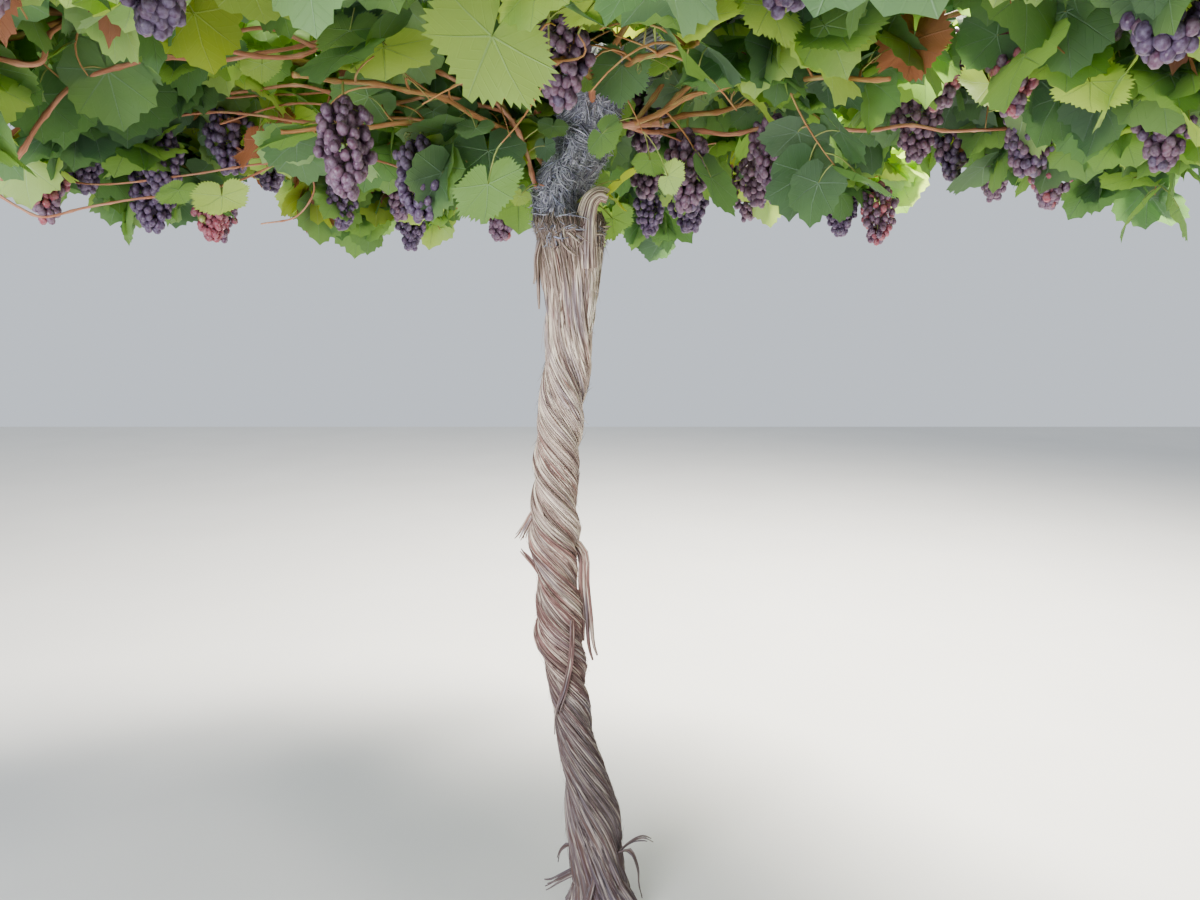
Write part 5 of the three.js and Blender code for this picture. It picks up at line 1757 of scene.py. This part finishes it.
# The plain rim with teeth added between its points: smooth lobes times a saw
half = np.array([(0, 1.0)] + HALF_RIM)
bearing = np.linspace(0, half[-1, 0], len(HALF_RIM) * FINE_TEETH + 1)[1:]
saw = np.where(np.arange(len(bearing)) % 2 == 0, 1.05, 0.93)
near_leaf = leaf_template(np.column_stack([bearing, np.interp(bearing, half[:, 0], half[:, 1]) * saw]), 6)
PHOTO_LEAVES = {
    "leaves_deep": [
        (622, 66, 1.62, 40, 0, -15, 30), (545, 146, 1.84, 16, 10, -10, 20),
        (579, 184, 1.99, 18, -60, -10, 0), (652, 2, 1.42, 54, -10, 20, -20),
        (476, 128, 1.75, 24, -20, 35, 20), (65, 36, 1.7, 40, 10, 20, -15),
        (226, 50, 1.8, 32, -15, 25, 15),
    ],
    "leaves_mid": [
        (488, 184, 1.58, 48, 2, 15, 26), (602, 134, 1.72, 30, 38, 25, 25), (553, 126, 1.82, 20, -10, 20, 0),
        (650, 160, 1.8, 26, 10, 35, -10), (597, 183, 1.99, 16, 70, 10, 20),
        (612, 218, 2.0, 30, 6, 25, 20), (700, 172, 2.05, 34, 10, 20, -15), (548, -6, 1.4, 50, 35, 30, 0),
        (668, 60, 1.75, 34, 30, 35, 0), (724, 68, 1.8, 36, -20, 25, -15), (588, 80, 1.74, 20, -12, 20, 10),
        (350, 30, 1.6, 44, -8, 20, 10), (178, 190, 2.1, 26, -20, 25, 15), (176, 62, 1.8, 32, 0, 20, 10),
        (836, 20, 1.5, 62, 8, 20, 10), (822, 88, 1.85, 36, 20, 25, 10),
    ],
    "leaves_light": [
        (492, 36, 1.24, 90, -16, 22, -30), (668, 176, 1.78, 24, 60, 45, 20),
        (600, -4, 1.36, 56, 12, 25, 20), (700, 14, 1.45, 58, 20, 30, 15), (450, 132, 1.85, 30, 15, 30, 0),
        (520, 196, 1.86, 16, -20, 25, 0), (262, 64, 1.82, 30, 8, 20, -10),
        (222, 196, 2.08, 34, 12, 20, -10), (990, 84, 1.7, 46, 10, 25, -10),
        (1090, 82, 1.6, 52, -15, 20, 15), (770, 6, 1.45, 56, -25, 30, -15),
    ],
    "leaves_yellow": [
        (620, 180, 1.86, 26, 10, 60, 30), (614, 200, 1.88, 22, -12, 62, -30),
        (512, 146, 1.95, 14, 20, 40, 10),
    ],
    "leaves_dry": [
        (914, 40, 1.55, 76, -12, 20, 25), (256, 152, 2.2, 38, 8, 50, 10),
        (232, 122, 2.15, 26, 20, 45, -20), (963, 140, 2.3, 26, -5, 60, 20),
        (536, 114, 1.86, 12, 20, 55, 0), (258, 140, 2.05, 44, -6, 20, 15), (283, 120, 2.1, 26, 10, 20, 20),
    ],
}
PHOTO_BUNCHES = [(560, -6, 1.52), (80, 112, 2.2), (157, 106, 2.15), (1055, 122, 2.2), (880, 172, 2.75),
                 (1020, -14, 1.62), (945, 10, 1.8), (660, 36, 2.1), (760, 136, 2.45), (215, 166, 2.6),
                 (690, 168, 2.6), (340, 164, 2.7), (500, 170, 2.8), (40, 130, 2.15), (352, 92, 2.3),
                 (208, 166, 2.4)]


def nearest(places, targets):
    """For each place, the closest of the targets."""
    apart = np.linalg.norm(places[:, None] - targets, axis=2)
    return targets[apart.argmin(axis=1)]


wood_places = np.concatenate([curve.at(np.linspace(0.05, 1, 50)) for curve in shoot_curves]
                             + [laterals.reshape(-1, 3)]
                             + [curve.at(np.linspace(0, 1, 60)) for curve in photo_curves])
for name, rows in PHOTO_LEAVES.items():
    right, down, depth, size, *angles = np.transpose(rows)
    turn, lean, roll = (np.radians(angle)[:, None] for angle in angles)
    flat_tip = VIEW_RIGHT * np.sin(turn) - VIEW_UP * np.cos(turn)
    tip = flat_tip * np.cos(lean) - VIEW_AHEAD * np.sin(lean)
    face = rolled(VIEW_AHEAD * np.cos(lean) + flat_tip * np.sin(lean), tip, roll)
    joint = from_view(right, down, depth)
    keys = np.arange(len(rows)) + 400 + 50 * len(name)
    blades = leaves(joint, tip, face, size / PIXELS_AT_ONE * depth, keys, near_leaf, name == "leaves_dry")
    tint_shapes[name].append(blades)
    stalk_shapes["leaf_stalks"].append(stalk_tubes(nearest(joint, wood_places), joint, 0.0015))

hand_roots = from_view(*np.transpose(PHOTO_BUNCHES))
add_bunches(hand_roots, 500)
stalk_shapes["bunch_stalks"].append(stalk_tubes(nearest(hand_roots, wood_places), hand_roots, 0.0022))
print("leaves and bunches by hand:", sum(map(len, PHOTO_LEAVES.values())), len(PHOTO_BUNCHES))

# %% Add leaves, berries and stalks
for name, shapes in tint_shapes.items():
    add_piece(name, joined(shapes), leaf_finishes[name])
for name, shapes in berry_shapes.items():
    add_piece(name, joined(shapes), berry_finishes[name])
for name, shapes in stalk_shapes.items():
    add_piece(name, joined(shapes), stalk_skin)

# %% [markdown]
# ## Floor, light and camera
#
# The picture is taken from under the edge of the crown, at head height and looking slightly down. A
# large soft light stands high behind the vine, because leaves under open sky glow where the light comes
# through them. A weaker one fills in from the camera's side, and a pale floor sends light up.

# %% Floor
FLOOR_HALF = 9
floor = bpy.data.meshes.new("floor")
signs = ((-1, -1), (1, -1), (1, 1), (-1, 1))
floor.from_pydata([(x * FLOOR_HALF, y * FLOOR_HALF, -0.001) for x, y in signs], [], [(0, 1, 2, 3)])
finish = Finish("pale_floor")
cloud = finish.noise(finish.places(), 1.5)
floor.materials.append(finish.done(finish.surface({
    "Base Color": finish.coated((0.70, 0.69, 0.66), (cloud, (0.76, 0.75, 0.72))),
    "Roughness": 0.9,
})))


# %% Lights
def soft_light(name, place, aim, size, power, colour):
    """A square area light at a place, turned to its aim."""
    light = bpy.data.lights.new(name, "AREA")
    light.size, light.energy, light.color = size, power, colour
    made = linked(name, light)
    made.location = place
    direction = Vector(aim) - Vector(place)
    made.rotation_euler = direction.to_track_quat("-Z", "Y").to_euler()
    return made


sun = soft_light("sun", (1.9, 2.0, 5.0), (0, 0, 1.6), 1.5, 900, (1.0, 0.95, 0.86))
fill = soft_light("fill", (-2.0, -3.2, 1.5), (0, 0, 1.3), 2.0, 165, (0.94, 0.95, 1.0))
linked("floor", floor)
world = bpy.data.worlds.new("sky")
world.use_nodes = True
sky = world.node_tree.nodes["Background"]
sky.inputs["Color"].default_value = (0.86, 0.92, 1.0, 1.0)
sky.inputs["Strength"].default_value = 0.68
bpy.context.scene.world = world

# %% Camera
camera = linked("camera", bpy.data.cameras.new("camera"))
camera.data.sensor_width = 36
camera.data.lens = camera.data.sensor_width * PIXELS_AT_ONE / PHOTO_WIDE
camera.location = VIEW_POINT
camera.rotation_euler = (np.radians(90) - VIEW_PITCH, 0, 0)
bpy.context.scene.camera = camera
bpy.context.scene.view_settings.view_transform = "AgX"
bpy.context.scene.view_settings.look = "AgX - Medium High Contrast"

# %% [markdown]
# ## Triangles in all
#
# The triangles of all the pieces are added up and printed.

# %% Print the triangles in all
print("triangles in all:", sum(piece_sizes.values()))
